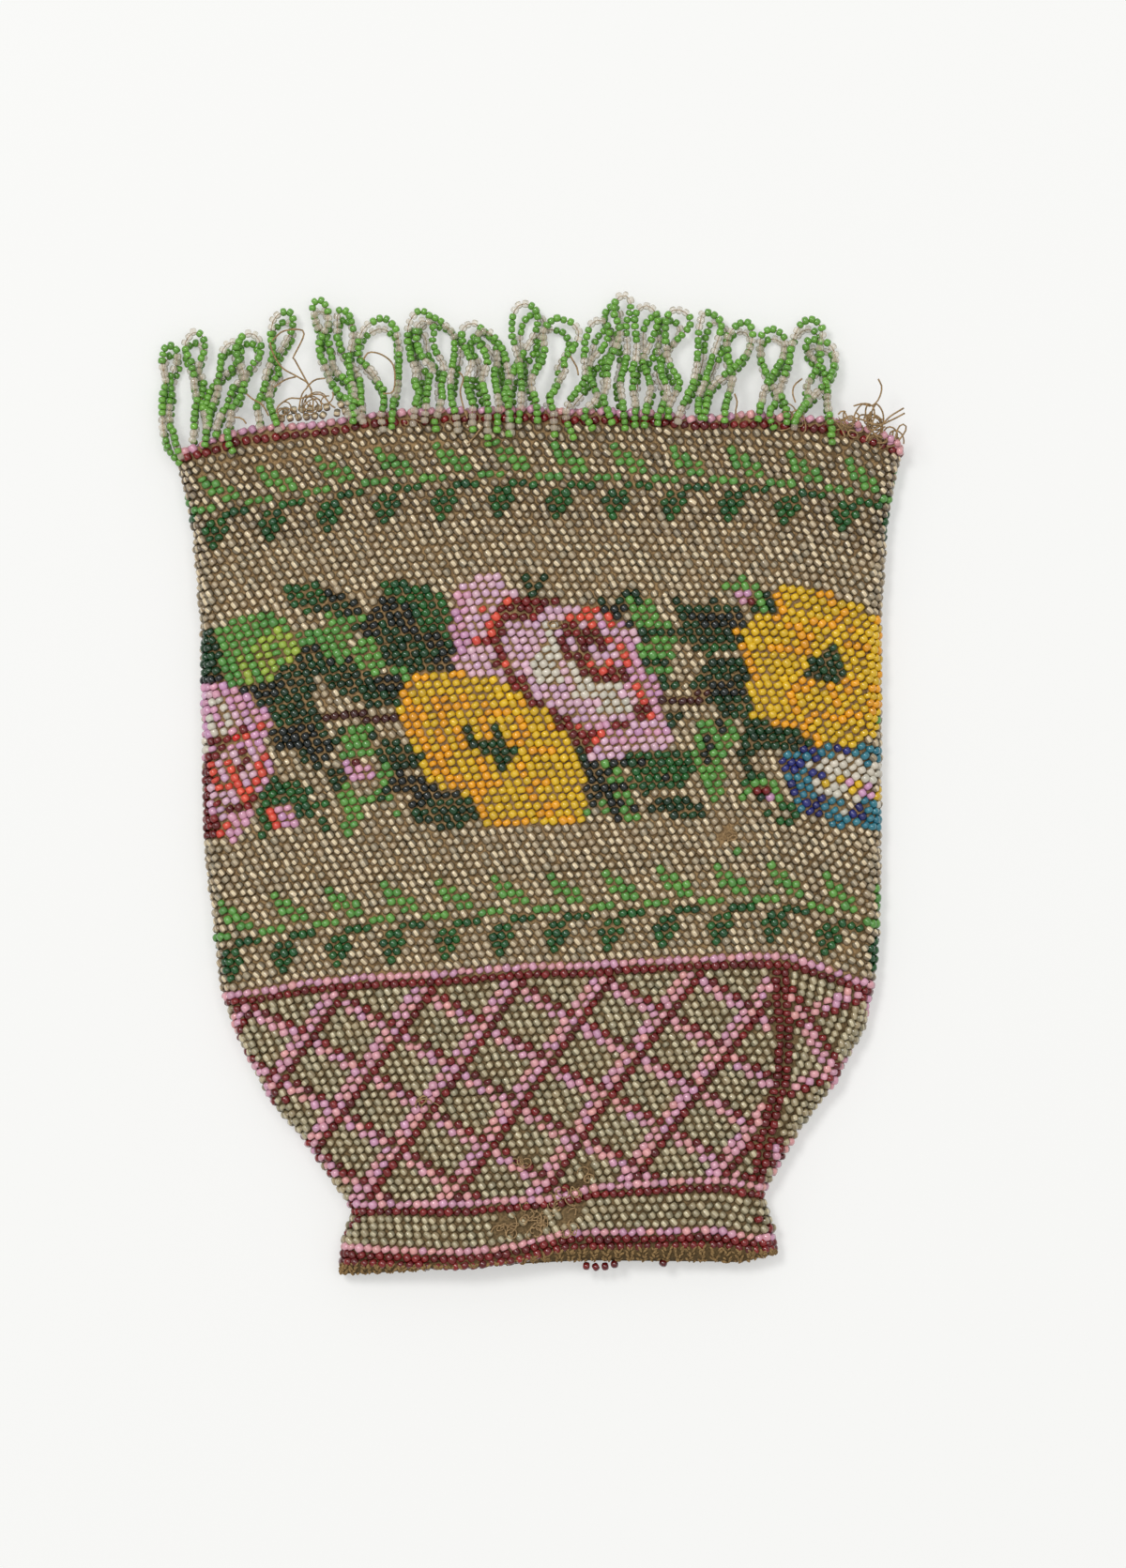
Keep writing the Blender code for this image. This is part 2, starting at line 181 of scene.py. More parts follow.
def on_tube(rounds, way, depth):
    """Places and outward directions on the tube, at a way round from the face's middle and a depth inside."""
    rounds, way = np.broadcast_arrays(np.asarray(rounds, float), np.asarray(way, float))
    line = line_of(rounds)
    half = half_width(rounds)
    corner = half - SIDE_RADIUS
    girth = 2 * half_girth(rounds)
    wrapped = (way + girth / 2) % girth - girth / 2
    side = np.where(wrapped < 0, -1.0, 1.0)
    away = np.abs(wrapped)
    thick = along_line(THICKS, line)
    share = np.clip(away / corner, 0, 1)
    fall = thick - 2 * SIDE_RADIUS
    face_z = thick - fall * share**4
    slope = 4 * fall / corner * share**3
    turn = np.clip((away - corner) / SIDE_RADIUS, 0, math.pi)
    is_face = away <= corner
    is_back = away >= corner + math.pi * SIDE_RADIUS
    x = np.where(is_face, away, corner + SIDE_RADIUS * np.sin(turn))
    x = np.where(is_back, corner - (away - corner - math.pi * SIDE_RADIUS), x)
    z = np.where(is_face, face_z, SIDE_RADIUS + SIDE_RADIUS * np.cos(turn))
    z = np.where(is_back, 0.0, z)
    out_x = np.where(is_face, slope, np.sin(turn))
    out_z = np.where(is_face, 1.0, np.cos(turn))
    length = np.hypot(out_x, out_z)
    out_x, out_z = side * out_x / length, out_z / length
    x = side * x + along_line(DRIFTS, line)
    normal = np.stack([out_x, np.zeros_like(out_x), out_z], axis=-1)
    y = to_y(photo_height(rounds, to_pixel_x(x)))
    return np.stack([x, y, z], axis=-1) - normal * depth, normal


print("rounds from", round(line_of(0) / MM, 1), "mm to", round(line_of(LAST_ROUND) / MM, 1), "mm")

# %% [markdown]
# ## Colours
# Each bead has a tint, how clear it is, and a chance of its own, which its material reads.

# %%


def linear(red, green, blue):
    """A colour as it looks, made into the numbers that light is reckoned in."""
    return tuple(c / 12.92 if c < 0.04045 else ((c + 0.055) / 1.055) ** 2.4 for c in (red, green, blue))


# each colour's two extreme shades, and how clear the glass is
PALETTE = {
    "clear": ((0.56, 0.48, 0.37), (0.49, 0.45, 0.37), 1.0),
    "clear_dim": ((0.46, 0.39, 0.30), (0.40, 0.36, 0.30), 1.0),
    "clear_grey": ((0.57, 0.50, 0.37), (0.50, 0.47, 0.37), 1.0),
    "pink": ((0.83, 0.59, 0.57), (0.76, 0.56, 0.67), 0.1),
    "garnet": ((0.31, 0.04, 0.05), (0.45, 0.08, 0.08), 0.4),
    "light_pink": ((0.84, 0.68, 0.72), (0.77, 0.62, 0.72), 0.05),
    "mid_pink": ((0.83, 0.60, 0.67), (0.76, 0.56, 0.70), 0.05),
    "coral": ((0.87, 0.33, 0.24), (0.78, 0.25, 0.20), 0.1),
    "red": ((0.85, 0.12, 0.10), (0.75, 0.10, 0.10), 0.1),
    "off_white": ((0.82, 0.78, 0.71), (0.74, 0.72, 0.66), 0.05),
    "bright_green": ((0.37, 0.59, 0.25), (0.30, 0.52, 0.24), 0.08),
    "lime": ((0.62, 0.69, 0.25), (0.52, 0.64, 0.24), 0.05),
    "dark_green": ((0.11, 0.34, 0.12), (0.07, 0.25, 0.13), 0.4),
    "deep_green": ((0.05, 0.24, 0.10), (0.04, 0.15, 0.08), 0.35),
    "black_green": ((0.06, 0.08, 0.08), (0.05, 0.11, 0.08), 0.2),
    "brown": ((0.22, 0.09, 0.09), (0.26, 0.10, 0.07), 0.2),
    "yellow": ((0.85, 0.69, 0.10), (0.79, 0.64, 0.11), 0.05),
    "orange": ((0.90, 0.62, 0.08), (0.85, 0.58, 0.09), 0.05),
    "cobalt": ((0.13, 0.15, 0.43), (0.10, 0.11, 0.34), 0.3),
    "turquoise": ((0.20, 0.48, 0.53), (0.15, 0.41, 0.48), 0.1),
    "fringe_green": ((0.42, 0.64, 0.22), (0.36, 0.57, 0.20), 0.0),
    "fringe_clear": ((0.93, 0.88, 0.79), (0.87, 0.82, 0.73), 1.0),
    "thread": ((0.56, 0.45, 0.29), (0.62, 0.50, 0.33), 0.0),
}
NAMES = list(PALETTE)
TINTS = np.array([linear(*tint) for tint, _, _ in PALETTE.values()])
OTHER_TINTS = np.array([linear(*tint) for _, tint, _ in PALETTE.values()])
CLEARNESS = np.array([clear for _, _, clear in PALETTE.values()])

# %% [markdown]
# ## The floral band
# Two leaf borders repeat every six stitches. Between them the flowers are painted on the beads: areas first,
# then single beads.

# %%
LEAF_BRIGHT = {(0, 0), (1, 0), (1, 1), (2, 0), (2, 1), (2, 2), (3, 1), (3, 2), (4, 3), (4, 4), (4, 5)}
LEAF_DARK = {(5, 0), (5, 1), (5, 2), (6, 4), (6, 5), (7, 3), (7, 4), (7, 5), (8, 3), (8, 4), (9, 3)}
UPPER_LEAVES = 4
LOWER_LEAVES = 59

# each area's colour and its corners in the photo, read off it, in the order of painting
AREAS = [
    ("deep_green", [(205, 668), (238, 668), (238, 722), (205, 722)]),
    ("black_green", [(205, 720), (242, 716), (236, 733), (205, 731)]),
    ("dark_green", [(303, 624), (345, 623), (352, 656), (318, 650), (303, 640)]),
    ("deep_green", [(385, 640), (388, 664), (376, 672), (335, 648)]),
    ("black_green", [(345, 630), (372, 631), (372, 640), (345, 642)]),
    ("black_green", [(368, 640), (386, 642), (386, 657), (368, 655)]),
    ("deep_green", [(320, 690), (408, 720), (428, 752), (400, 752), (384, 750), (350, 731), (342, 722),
        (334, 722), (333, 738), (352, 776), (345, 818), (320, 812), (254, 736)]),
    ("black_green", [(292, 722), (304, 730), (290, 742), (268, 742), (252, 735)]),
    ("black_green", [(312, 690), (350, 684), (330, 700)]),
    ("black_green", [(352, 696), (386, 700), (352, 710)]),
    ("black_green", [(402, 722), (424, 722), (432, 730), (418, 738), (402, 736)]),
    ("black_green", [(288, 772), (330, 772), (334, 782), (354, 784), (354, 812), (330, 818), (318, 794),
        (288, 797)]),
    ("bright_green", [(257, 654), (308, 655), (310, 671), (356, 663), (373, 672), (373, 690), (366, 705),
        (345, 697), (336, 689), (325, 688), (270, 733), (243, 730), (236, 710), (227, 671)]),
    ("bright_green", [(350, 655), (390, 655), (390, 668), (350, 667)]),
    ("bright_green", [(377, 678), (396, 672), (409, 706), (397, 719), (380, 706)]),
    ("dark_green", [(296, 820), (300, 830), (330, 840), (324, 874), (272, 852)]),
    ("mid_pink", [(206, 730), (256, 730), (272, 752), (288, 760), (290, 776), (282, 790), (290, 826),
        (268, 866), (256, 896), (222, 896)]),
    ("garnet", [(205, 815), (222, 812), (226, 896), (218, 896)]),
    ("bright_green", [(363, 773), (396, 773), (400, 808), (362, 808)]),
    ("bright_green", [(410, 808), (418, 824), (410, 850), (395, 838), (404, 832), (402, 818)]),
    ("bright_green", [(363, 838), (375, 832), (376, 846), (398, 852), (384, 866), (388, 876), (372, 890),
        (362, 890), (364, 868), (360, 852)]),
    ("deep_green", [(349, 815), (366, 818), (368, 843), (358, 843)]),
    ("deep_green", [(403, 795), (412, 788), (430, 790), (446, 802), (452, 812), (418, 826), (412, 812),
        (403, 808)]),
    ("black_green", [(417, 830), (428, 822), (488, 844), (488, 848), (440, 872), (438, 850), (430, 842),
        (420, 842)]),
    ("deep_green", [(437, 862), (452, 862), (458, 848), (502, 850), (510, 868), (490, 882), (462, 882),
        (458, 874), (440, 874)]),
    ("dark_green", [(410, 620), (436, 620), (470, 632), (489, 696), (404, 640)]),
    ("deep_green", [(450, 680), (489, 678), (474, 720), (410, 712), (396, 656)]),
    ("black_green", [(410, 634), (430, 645), (448, 662), (436, 676), (408, 664), (406, 674), (382, 680),
        (392, 656)]),
    ("black_green", [(450, 676), (466, 678), (482, 690), (484, 714), (458, 712), (456, 704), (474, 700),
        (450, 690)]),
    ("yellow", [(473, 715), (553, 730), (590, 762), (628, 828), (628, 872), (611, 878), (524, 882),
        (503, 861), (500, 853), (459, 832), (451, 813), (447, 803), (425, 765), (427, 752), (436, 728)]),
    ("deep_green", [(496, 776), (508, 785), (524, 786), (526, 774), (554, 806), (536, 820), (524, 809),
        (501, 798)]),
    ("light_pink", [(494, 620), (506, 620), (509, 611), (534, 610), (542, 620), (550, 636), (652, 656),
        (678, 670), (716, 790), (708, 802), (626, 812), (590, 756), (548, 726), (512, 722), (489, 714),
        (482, 645)]),
    ("mid_pink", [(484, 634), (498, 626), (496, 660), (500, 682), (486, 708), (480, 655)]),
    ("garnet", [(548, 636), (592, 637), (592, 648), (572, 650), (570, 658), (540, 658)]),
    ("garnet", [(530, 652), (540, 652), (537, 690), (548, 714), (572, 742), (560, 744), (538, 722),
        (528, 708), (527, 676)]),
    ("garnet", [(598, 756), (604, 766), (640, 776), (630, 800), (622, 796), (612, 790)]),
    ("garnet", [(592, 660), (640, 672), (640, 690), (634, 700), (630, 712), (660, 710), (672, 722),
        (636, 730), (622, 720)]),
    ("off_white", [(580, 662), (592, 662), (594, 680), (618, 716), (632, 726), (665, 727), (666, 737),
        (632, 746), (612, 746), (610, 730), (578, 728), (568, 712), (566, 692), (580, 690)]),
    ("off_white", [(637, 747), (672, 746), (670, 757), (637, 757)]),
    ("black_green", [(634, 642), (662, 642), (668, 650), (668, 664), (684, 664), (672, 672)]),
    ("bright_green", [(666, 640), (696, 640), (702, 655), (712, 660), (714, 673), (682, 673)]),
    ("deep_green", [(676, 672), (718, 672), (720, 681), (690, 682), (676, 678)]),
    ("bright_green", [(680, 682), (720, 681), (724, 700), (684, 700)]),
    ("deep_green", [(687, 700), (718, 700), (718, 710), (690, 710)]),
    ("bright_green", [(689, 710), (720, 709), (718, 719), (690, 719)]),
    ("deep_green", [(720, 642), (722, 636), (732, 642), (765, 640), (794, 648), (790, 696), (738, 690),
        (724, 680)]),
    ("black_green", [(735, 650), (790, 650), (796, 666), (765, 668), (740, 664)]),
    ("dark_green", [(748, 688), (792, 686), (796, 696), (750, 698)]),
    ("deep_green", [(816, 628), (828, 646), (826, 656), (802, 649)]),
    ("deep_green", [(756, 704), (790, 702), (806, 740), (797, 768), (773, 764), (736, 728)]),
    ("black_green", [(755, 728), (800, 730), (802, 742), (755, 738)]),
    ("dark_green", [(668, 800), (738, 804), (738, 835), (704, 843), (670, 838)]),
    ("black_green", [(619, 800), (626, 812), (664, 812), (668, 830), (668, 872), (650, 872), (630, 858),
        (620, 842), (628, 826)]),
    ("deep_green", [(691, 849), (742, 853), (757, 871), (718, 871), (695, 863)]),
    ("bright_green", [(748, 763), (784, 770), (788, 786), (774, 800), (773, 819), (768, 846), (758, 856),
        (739, 802)]),
    ("yellow", [(834, 624), (911, 640), (926, 650), (946, 660), (936, 772), (930, 785), (914, 797),
        (802, 764), (797, 728), (788, 672), (800, 657), (831, 657)]),
    ("deep_green", [(882, 688), (892, 690), (902, 722), (878, 734), (874, 724), (862, 724), (858, 702),
        (878, 696)]),
    ("deep_green", [(797, 764), (852, 778), (866, 790), (848, 800), (812, 798), (800, 812), (788, 812)]),
    ("turquoise", [(870, 795), (944, 796), (944, 806), (870, 806)]),
    ("turquoise", [(838, 800), (858, 802), (882, 846), (838, 838)]),
    ("off_white", [(858, 806), (920, 804), (944, 812), (944, 832), (868, 838)]),
    ("turquoise", [(850, 846), (900, 848), (898, 882), (884, 876), (850, 868)]),
    ("turquoise", [(918, 850), (944, 860), (944, 886), (908, 876)]),
]

# each colour's single beads, read off the photo: by their height in it, their places across it
DOTS = {
    "lime": {
        674: [297], 682: [280, 311], 683: [292, 302], 690: [313], 691: [283], 692: [273], 698: [307],
        701: [258, 276, 287], 710: [261, 280], 711: [290], 718: [264], 720: [283], 727: [267],
    },
    "black_green": {
        675: [445], 775: [766], 785: [757], 792: [759], 801: [753], 810: [756], 813: [687], 827: [711],
        862: [672],
    },
    "brown": {
        741: [752], 743: [743], 745: [734], 748: [725], 749: [714], 750: [704], 761: [361, 371, 381],
        762: [390], 764: [350], 767: [413, 424], 768: [393, 403],
    },
    "bright_green": {
        618: [795], 625: [778, 788], 626: [798], 627: [808], 636: [812], 645: [813], 701: [367],
        712: [422, 432], 722: [436], 764: [939], 815: [643], 823: [656], 832: [648, 659],
        838: [802, 812, 823], 845: [793, 826], 847: [666], 848: [655], 853: [796, 828], 855: [415, 669],
        857: [639], 862: [630], 863: [663], 864: [419], 865: [642], 871: [678], 872: [667], 907: [790],
    },
    "dark_green": {
        829: [799, 809], 836: [791], 859: [338, 350], 861: [832], 862: [843], 863: [822], 865: [276],
        866: [326], 871: [834], 872: [845], 874: [279], 876: [344], 883: [284], 885: [347], 893: [277],
    },
    "deep_green": {
        617: [556, 577], 625: [570], 626: [559], 634: [563], 635: [668], 637: [679], 643: [640], 644: [661],
        723: [707], 733: [711, 722], 767: [714, 723], 778: [362], 786: [398], 788: [361], 797: [618],
        805: [619], 818: [795], 843: [686], 846: [411], 848: [404], 853: [808],
    },
    "garnet": {
        642: [556], 643: [803], 651: [538], 669: [607], 678: [600], 682: [515], 687: [604, 644], 696: [606],
        745: [567], 752: [580, 688], 760: [681], 762: [593], 769: [660, 671], 772: [597], 780: [255],
        790: [227, 238], 800: [231, 262], 808: [224, 266], 813: [377], 816: [258], 845: [805, 816],
        850: [271], 855: [229], 856: [218], 859: [244, 254, 265], 873: [226], 881: [231], 890: [224],
    },
    "coral": {
        642: [546], 652: [518, 529, 622, 633], 660: [605, 615, 625, 645], 664: [521], 669: [628, 648],
        673: [525], 678: [650], 682: [505], 687: [664], 696: [668], 705: [628, 649, 671], 710: [544],
        714: [642], 733: [681], 743: [685], 760: [691], 772: [620], 778: [275, 643], 781: [265], 787: [635],
        806: [285], 808: [245], 817: [225, 247, 278], 824: [282], 825: [229, 251], 832: [274], 833: [253],
        834: [242], 835: [232], 841: [268], 842: [256], 851: [261], 864: [287], 874: [291], 879: [241],
        883: [294], 889: [234],
    },
    "red": {
        789: [248],
    },
    "light_pink": {
        678: [610], 687: [613, 633], 705: [597], 714: [601], 723: [603], 743: [214, 225], 762: [214, 249],
        772: [252, 262], 798: [271], 800: [241, 252], 808: [255, 275], 817: [236, 268], 825: [240, 261, 271],
        834: [264], 843: [225, 236, 247], 851: [249], 853: [240], 860: [220], 864: [233], 872: [238],
    },
    "mid_pink": {
        634: [791, 800], 642: [793], 669: [638, 658], 678: [662, 672], 687: [674], 696: [678],
        705: [660, 682], 714: [674, 685], 723: [678, 688, 698], 733: [671, 691, 700], 743: [694, 704],
        760: [700], 762: [669], 771: [630, 640, 650], 778: [654, 665, 676, 687, 697, 706],
        788: [656, 667, 677], 814: [368], 822: [372, 382, 390], 831: [373, 384, 394], 836: [905], 838: [926],
        846: [919, 928], 854: [819], 863: [297, 308], 873: [301, 311], 881: [305],
    },
    "off_white": {
        752: [224, 234], 762: [226], 764: [237], 773: [228, 240], 781: [232, 242], 790: [215], 800: [218],
        843: [869, 880, 890, 899], 855: [912], 856: [938], 863: [904],
    },
    "orange": {
        633: [877, 886], 636: [827], 643: [890], 644: [833], 652: [898], 653: [833], 661: [829], 662: [892],
        663: [937], 665: [838, 864], 666: [877], 667: [890], 668: [903], 669: [848], 672: [856], 674: [866],
        675: [789], 680: [940], 685: [793], 686: [900], 688: [822, 832, 912], 689: [842],
        690: [852, 860, 925], 695: [797], 697: [941], 704: [801], 712: [804], 715: [941],
        719: [441, 451, 482, 492], 721: [808], 728: [433], 729: [850, 858, 865], 730: [916, 930],
        731: [888, 902], 732: [939], 738: [433, 845], 741: [893], 745: [848],
        748: [435, 467, 476, 496, 556, 897, 938], 753: [928],
        755: [438, 447, 469, 480, 490, 520, 530, 540, 853], 761: [920],
        764: [431, 441, 451, 473, 514, 554, 860, 870, 881, 892, 903], 771: [828, 838, 848, 858],
        773: [435, 445, 475, 516, 557, 586], 781: [860, 870], 782: [439, 448, 468, 490, 519, 549, 560],
        790: [872], 791: [452, 471, 491, 542, 553], 800: [453, 474, 567, 577, 587], 808: [456, 467, 477, 508],
        817: [459, 470, 512, 553], 824: [463, 474, 515, 555], 834: [479, 489, 499, 509, 519, 528, 570, 580],
        842: [501, 512, 563], 850: [505, 566], 860: [509, 579, 589], 869: [513, 572, 583],
        875: [526, 536, 546, 556, 595, 606],
    },
    "cobalt": {
        798: [854, 864], 800: [893, 904], 806: [866], 814: [831, 841, 851], 823: [835, 845, 864, 873],
        839: [842], 847: [844], 850: [873], 856: [858, 867], 864: [914], 865: [860, 870], 871: [918],
    },
    "turquoise": {
        806: [857], 811: [927, 939], 860: [894], 877: [892, 901],
    },
    "yellow": {
        834: [876, 895], 838: [914], 839: [939], 845: [909], 850: [939],
    },
}
DOT_REACH = 7  # photo pixels from a dot to the bead that it always colours
DOT_RADIUS = 5.3  # photo pixels within which a bead takes its nearest dot's colour


def inside(points, outline):
    """Which points lie inside an outline."""
    found = np.zeros(len(points), bool)
    x, y = points[:, 0], points[:, 1]
    for (x0, y0), (x1, y1) in zip(outline, outline[1:] + outline[:1]):
        if y0 != y1:
            crossed = ((y0 > y) != (y1 > y)) & (x < (x1 - x0) * (y - y0) / (y1 - y0) + x0)
            found ^= crossed
    return found


def paint_flowers(points, kinds, wanted):
    """Gives the wanted beads, at their places in the photo, the colours of the flowers."""
    for name, outline in AREAS:
        kinds[wanted & inside(points, outline)] = NAMES.index(name)
    chosen = np.flatnonzero(wanted)
    dots = np.array([(x, y, NAMES.index(name)) for name, rows in DOTS.items()
                     for y, xs in rows.items() for x in xs])
    marked = dots[:, 2]
    away = np.hypot(*(points[chosen][:, None] - dots[None, :, :2]).transpose(2, 0, 1))
    close = away.min(axis=0) < DOT_REACH
    kinds[chosen[away.argmin(axis=0)[close]]] = marked[close]
    near = away.min(axis=1) < DOT_RADIUS
    kinds[chosen[near]] = marked[away.argmin(axis=1)[near]]


# %% [markdown]
# ## Where every bead lies
# From the mouth to the lattice, 150 beads to a round. In the lattice two lines of garnet beads run down, one
# on the right of the face and one on the back, and swallow stitches as the bag narrows. The foot has 100
# beads to a round.

# %%
# single garnet beads on the lattice's and the foot's sides
SIDE_GARNETS = [(253, 1071), (261, 1090), (288, 1154), (304, 1174), (354, 1248), (364, 1255), (372, 1285),
                (379, 1293), (380, 1302), (374, 1309), (369, 1316), (358, 1344), (812, 1301), (818, 1310),
                (827, 1325)]
# worn places: the middle and the radius, in photo pixels
WORN = [(570, 1296, 18), (600, 1284, 22), (556, 1240, 10), (625, 1252, 10), (540, 1308, 12),
        (573, 1310, 10), (615, 1268, 8), (608, 1310, 8), (455, 1175, 9), (590, 665, 8), (776, 891, 8),
        (908, 710, 8)]
LAST_FLORAL = 71
LAST_LATTICE = 98
LAST_BEADED = 107
PHASE_STITCHES = 4.45  # where a stitch of the leaf border lies at its first round
FACE_PITCH = 9.55 * PIXEL  # of the lattice's stitches
LATTICE_START = 537.2  # photo pixel of the first stitch of a repeat, at the lattice's first round
LATTICE_LEAN = LEAN_PER_ROUND * 9.5  # photo pixels that its columns lean right in one round down
GORE_HALF = 1.0 * MM  # from a garnet line's middle to the middle of each of its two beads
GORE_CLEAR = 1.9 * MM  # from a garnet line's middle to the first stitch beside it
GORE_LEAN = 0.1  # of its beads' holes, off upright
SIDE_LEAN = 0.12  # of the holes beyond it
NONE_DIM = 17  # the clear beads are all dim down to DIM_ROUNDS above this round, and none is from it on
DIM_ROUNDS = 7
FLOWERED = (13.5, 58.5)  # the flowers' first and last rounds
LOST_EDGE = (893, 948)  # photo pixels between which most of the mouth's first round is lost
# the right garnet line's places in the photo
GORE = [(833, 1042), (833.5, 1063), (836.4, 1088), (837, 1114), (836, 1131), (834, 1150), (830, 1167),
        (824, 1186), (820, 1205), (815.5, 1222), (812, 1243), (807, 1262), (803, 1280)]


def gore_way(row):
    """How far right of the middle the right gore lies at a round, and the photo height there."""
    xs, ys = np.array(GORE).T
    x = xs[0]
    for _ in range(4):
        y = float(photo_height(row, np.array(x)))
        x = float(np.interp(y, ys, xs))
    return to_x(x) - float(along_line(DRIFTS, line_of(row)))


def lattice_kind(column, k, repeat=10):
    """The trellis of pink lines edged with garnet, which repeats every so many stitches and rounds."""
    place = column % repeat
    if place in ((2 - k) % repeat, (2 + k) % repeat):
        return "garnet"
    if place in (-k % repeat, (1 - k) % repeat, k % repeat, (k + 1) % repeat):
        return "pink"
    return "clear_grey"


def banded_rounds():
    """Rounds, ways round, colours and hole leans of the beads from the mouth to the lattice."""
    plain = {0: "pink", 1: "garnet", 70: "pink", 71: "garnet"}
    for row in range(LAST_FLORAL + 1):
        pitch = 2 * half_girth(row) / STITCHES
        shift = LEAN_PER_ROUND * (row - UPPER_LEAVES) - PHASE_STITCHES
        for column in range(-STITCHES // 2, STITCHES // 2):
            kind = plain.get(row, "clear")
            way = (column + shift) * pitch
            for first, offset in ((UPPER_LEAVES, 0), (LOWER_LEAVES, 4)):
                if (row - first, (column - offset) % 6) in LEAF_BRIGHT:
                    kind = "bright_green"
                if (row - first, (column - offset) % 6) in LEAF_DARK:
                    kind = "dark_green"
            yield row, way, kind, HOLE_LEAN


def lattice_rounds():
    """The same for the lattice: the face's trellis, and beyond the gore that of the right side and back."""
    for row in range(LAST_FLORAL + 1, LAST_LATTICE + 1):
        k = row - LAST_FLORAL - 1
        half = float(half_girth(row))
        gore = gore_way(row)
        start = to_x(LATTICE_START + LATTICE_LEAN * k) - float(along_line(DRIFTS, line_of(row)))
        for side in (gore, gore - half):
            yield row, side - GORE_HALF, "garnet", GORE_LEAN
            yield row, side + GORE_HALF, "garnet", GORE_LEAN
        column = math.floor((gore - GORE_CLEAR - start) / FACE_PITCH)
        while start + column * FACE_PITCH > gore - half + GORE_CLEAR:
            yield row, start + column * FACE_PITCH, lattice_kind(column, k), HOLE_LEAN
            column -= 1
        edge = float(half_width(row)) - SIDE_RADIUS + math.pi * SIDE_RADIUS / 2 + 0.3 * FACE_PITCH
        column = math.ceil((gore + GORE_CLEAR - edge) / FACE_PITCH)
        while edge + column * FACE_PITCH < gore + half - GORE_CLEAR:
            yield row, edge + column * FACE_PITCH, lattice_kind(column + 3, k + 1, repeat=12), SIDE_LEAN
            column += 1


def foot_rounds():
    """The same for the foot, which has its own number of stitches."""
    kinds = {99: "pink", 100: "garnet", 105: "pink", 106: "garnet", 107: "garnet"}
    for row in range(LAST_LATTICE + 1, LAST_BEADED + 1):
        pitch = 2 * half_girth(row) / FOOT_STITCHES
        for column in range(-FOOT_STITCHES // 2, FOOT_STITCHES // 2):
            way = (column + LEAN_PER_ROUND * (row - LAST_LATTICE - 1)) * pitch
            yield row, way, kinds.get(row, "clear_grey"), HOLE_LEAN


beads = [*banded_rounds(), *lattice_rounds(), *foot_rounds()]
rounds = np.array([bead[0] for bead in beads], float)
ways = np.array([bead[1] for bead in beads])
kinds = np.array([NAMES.index(bead[2]) for bead in beads])
leans = np.array([bead[3] for bead in beads])
girths = 2 * half_girth(rounds)
ways = (ways + girths / 2) % girths - girths / 2
away = np.abs(ways)
corners = half_width(rounds) - SIDE_RADIUS
on_front = away < corners + 0.5 * math.pi * SIDE_RADIUS
count = len(beads)
centres, normals = on_tube(rounds, ways, 1.0 * MM)
pixels = np.stack([to_pixel_x(centres[:, 0]), MIDDLE_Y - centres[:, 1] / PIXEL], axis=1)
dim = (kinds == NAMES.index("clear")) & (chance.random(count) < (NONE_DIM - rounds) / DIM_ROUNDS)
kinds[dim] = NAMES.index("clear_dim")
flowered = on_front & (rounds > FLOWERED[0]) & (rounds < FLOWERED[1])
paint_flowers(pixels, kinds, flowered)
low_front = np.flatnonzero(on_front & (rounds > LAST_FLORAL))
for place in SIDE_GARNETS:
    reach = np.hypot(*(pixels[low_front] - place).T)
    if reach.min() < 9:
        kinds[low_front[reach.argmin()]] = NAMES.index("garnet")
worn = np.zeros(count, bool)
for x, y, radius in WORN:
    worn |= on_front & (CLEARNESS[kinds] > 0.9) & (np.hypot(pixels[:, 0] - x, pixels[:, 1] - y) < radius)
kept = ~(worn & (chance.random(count) < 0.65))
lost_edge = (rounds == 0) & on_front & (pixels[:, 0] > LOST_EDGE[0]) & (pixels[:, 0] < LOST_EDGE[1])
kept &= ~(lost_edge & (chance.random(count) < 0.75))
print(count, "beads in the knit,", int(flowered.sum()), "of them where the flowers are")

# %% [markdown]
# ## One bead, spun once and copied
# A bead is a short rounded ring. Its map runs round the hole, with the middle of the map outwards, and
# along it.

# %%


def spun_bead(steps, profile):
    """A bead's corners, faces and map, spun about its hole."""
    spun = bmesh.new()
    points = [spun.verts.new((radius, 0, height)) for radius, height in profile]
    edges = [spun.edges.new(pair) for pair in zip(points, points[1:])]
    bmesh.ops.spin(spun, geom=points + edges, cent=(0, 0, 0), axis=(0, 0, 1), angle=2 * math.pi, steps=steps,
                   use_merge=True)
    bmesh.ops.remove_doubles(spun, verts=spun.verts, dist=1e-5)
    bmesh.ops.recalc_face_normals(spun, faces=spun.faces)
    spun.verts.ensure_lookup_table()
    corners = np.array([vertex.co[:] for vertex in spun.verts])
    faces, maps = [], []
    for face in spun.faces:
        centre = face.calc_center_median()
        middle = math.atan2(centre.y, centre.x)
        faces.append([vertex.index for vertex in face.verts])
        for vertex in face.verts:
            turn = math.atan2(vertex.co.y, vertex.co.x)
            turn += 2 * math.pi * round((middle - turn) / (2 * math.pi))
            maps.append((turn / (2 * math.pi) + 0.5, vertex.co.z + 0.5))
    spun.free()
    return corners, np.array(faces), np.array(maps)


# radii in half widths, heights in lengths
ROUNDED = [(0.3, 0.45), (0.64, 0.49), (0.92, 0.32), (1.0, 0.0), (0.92, -0.32), (0.64, -0.49), (0.3, -0.45)]
PLAIN = [(0.35, 0.46), (0.86, 0.4), (1.0, 0.0), (0.86, -0.4), (0.35, -0.46)]
FINE_BEAD = spun_bead(8, ROUNDED)
PLAIN_BEAD = spun_bead(6, PLAIN)
STITCH_LEG = spun_bead(6, [(0.02, 0.5), (0.6, 0.36), (1.0, 0.0), (0.6, -0.36), (0.02, -0.5)])


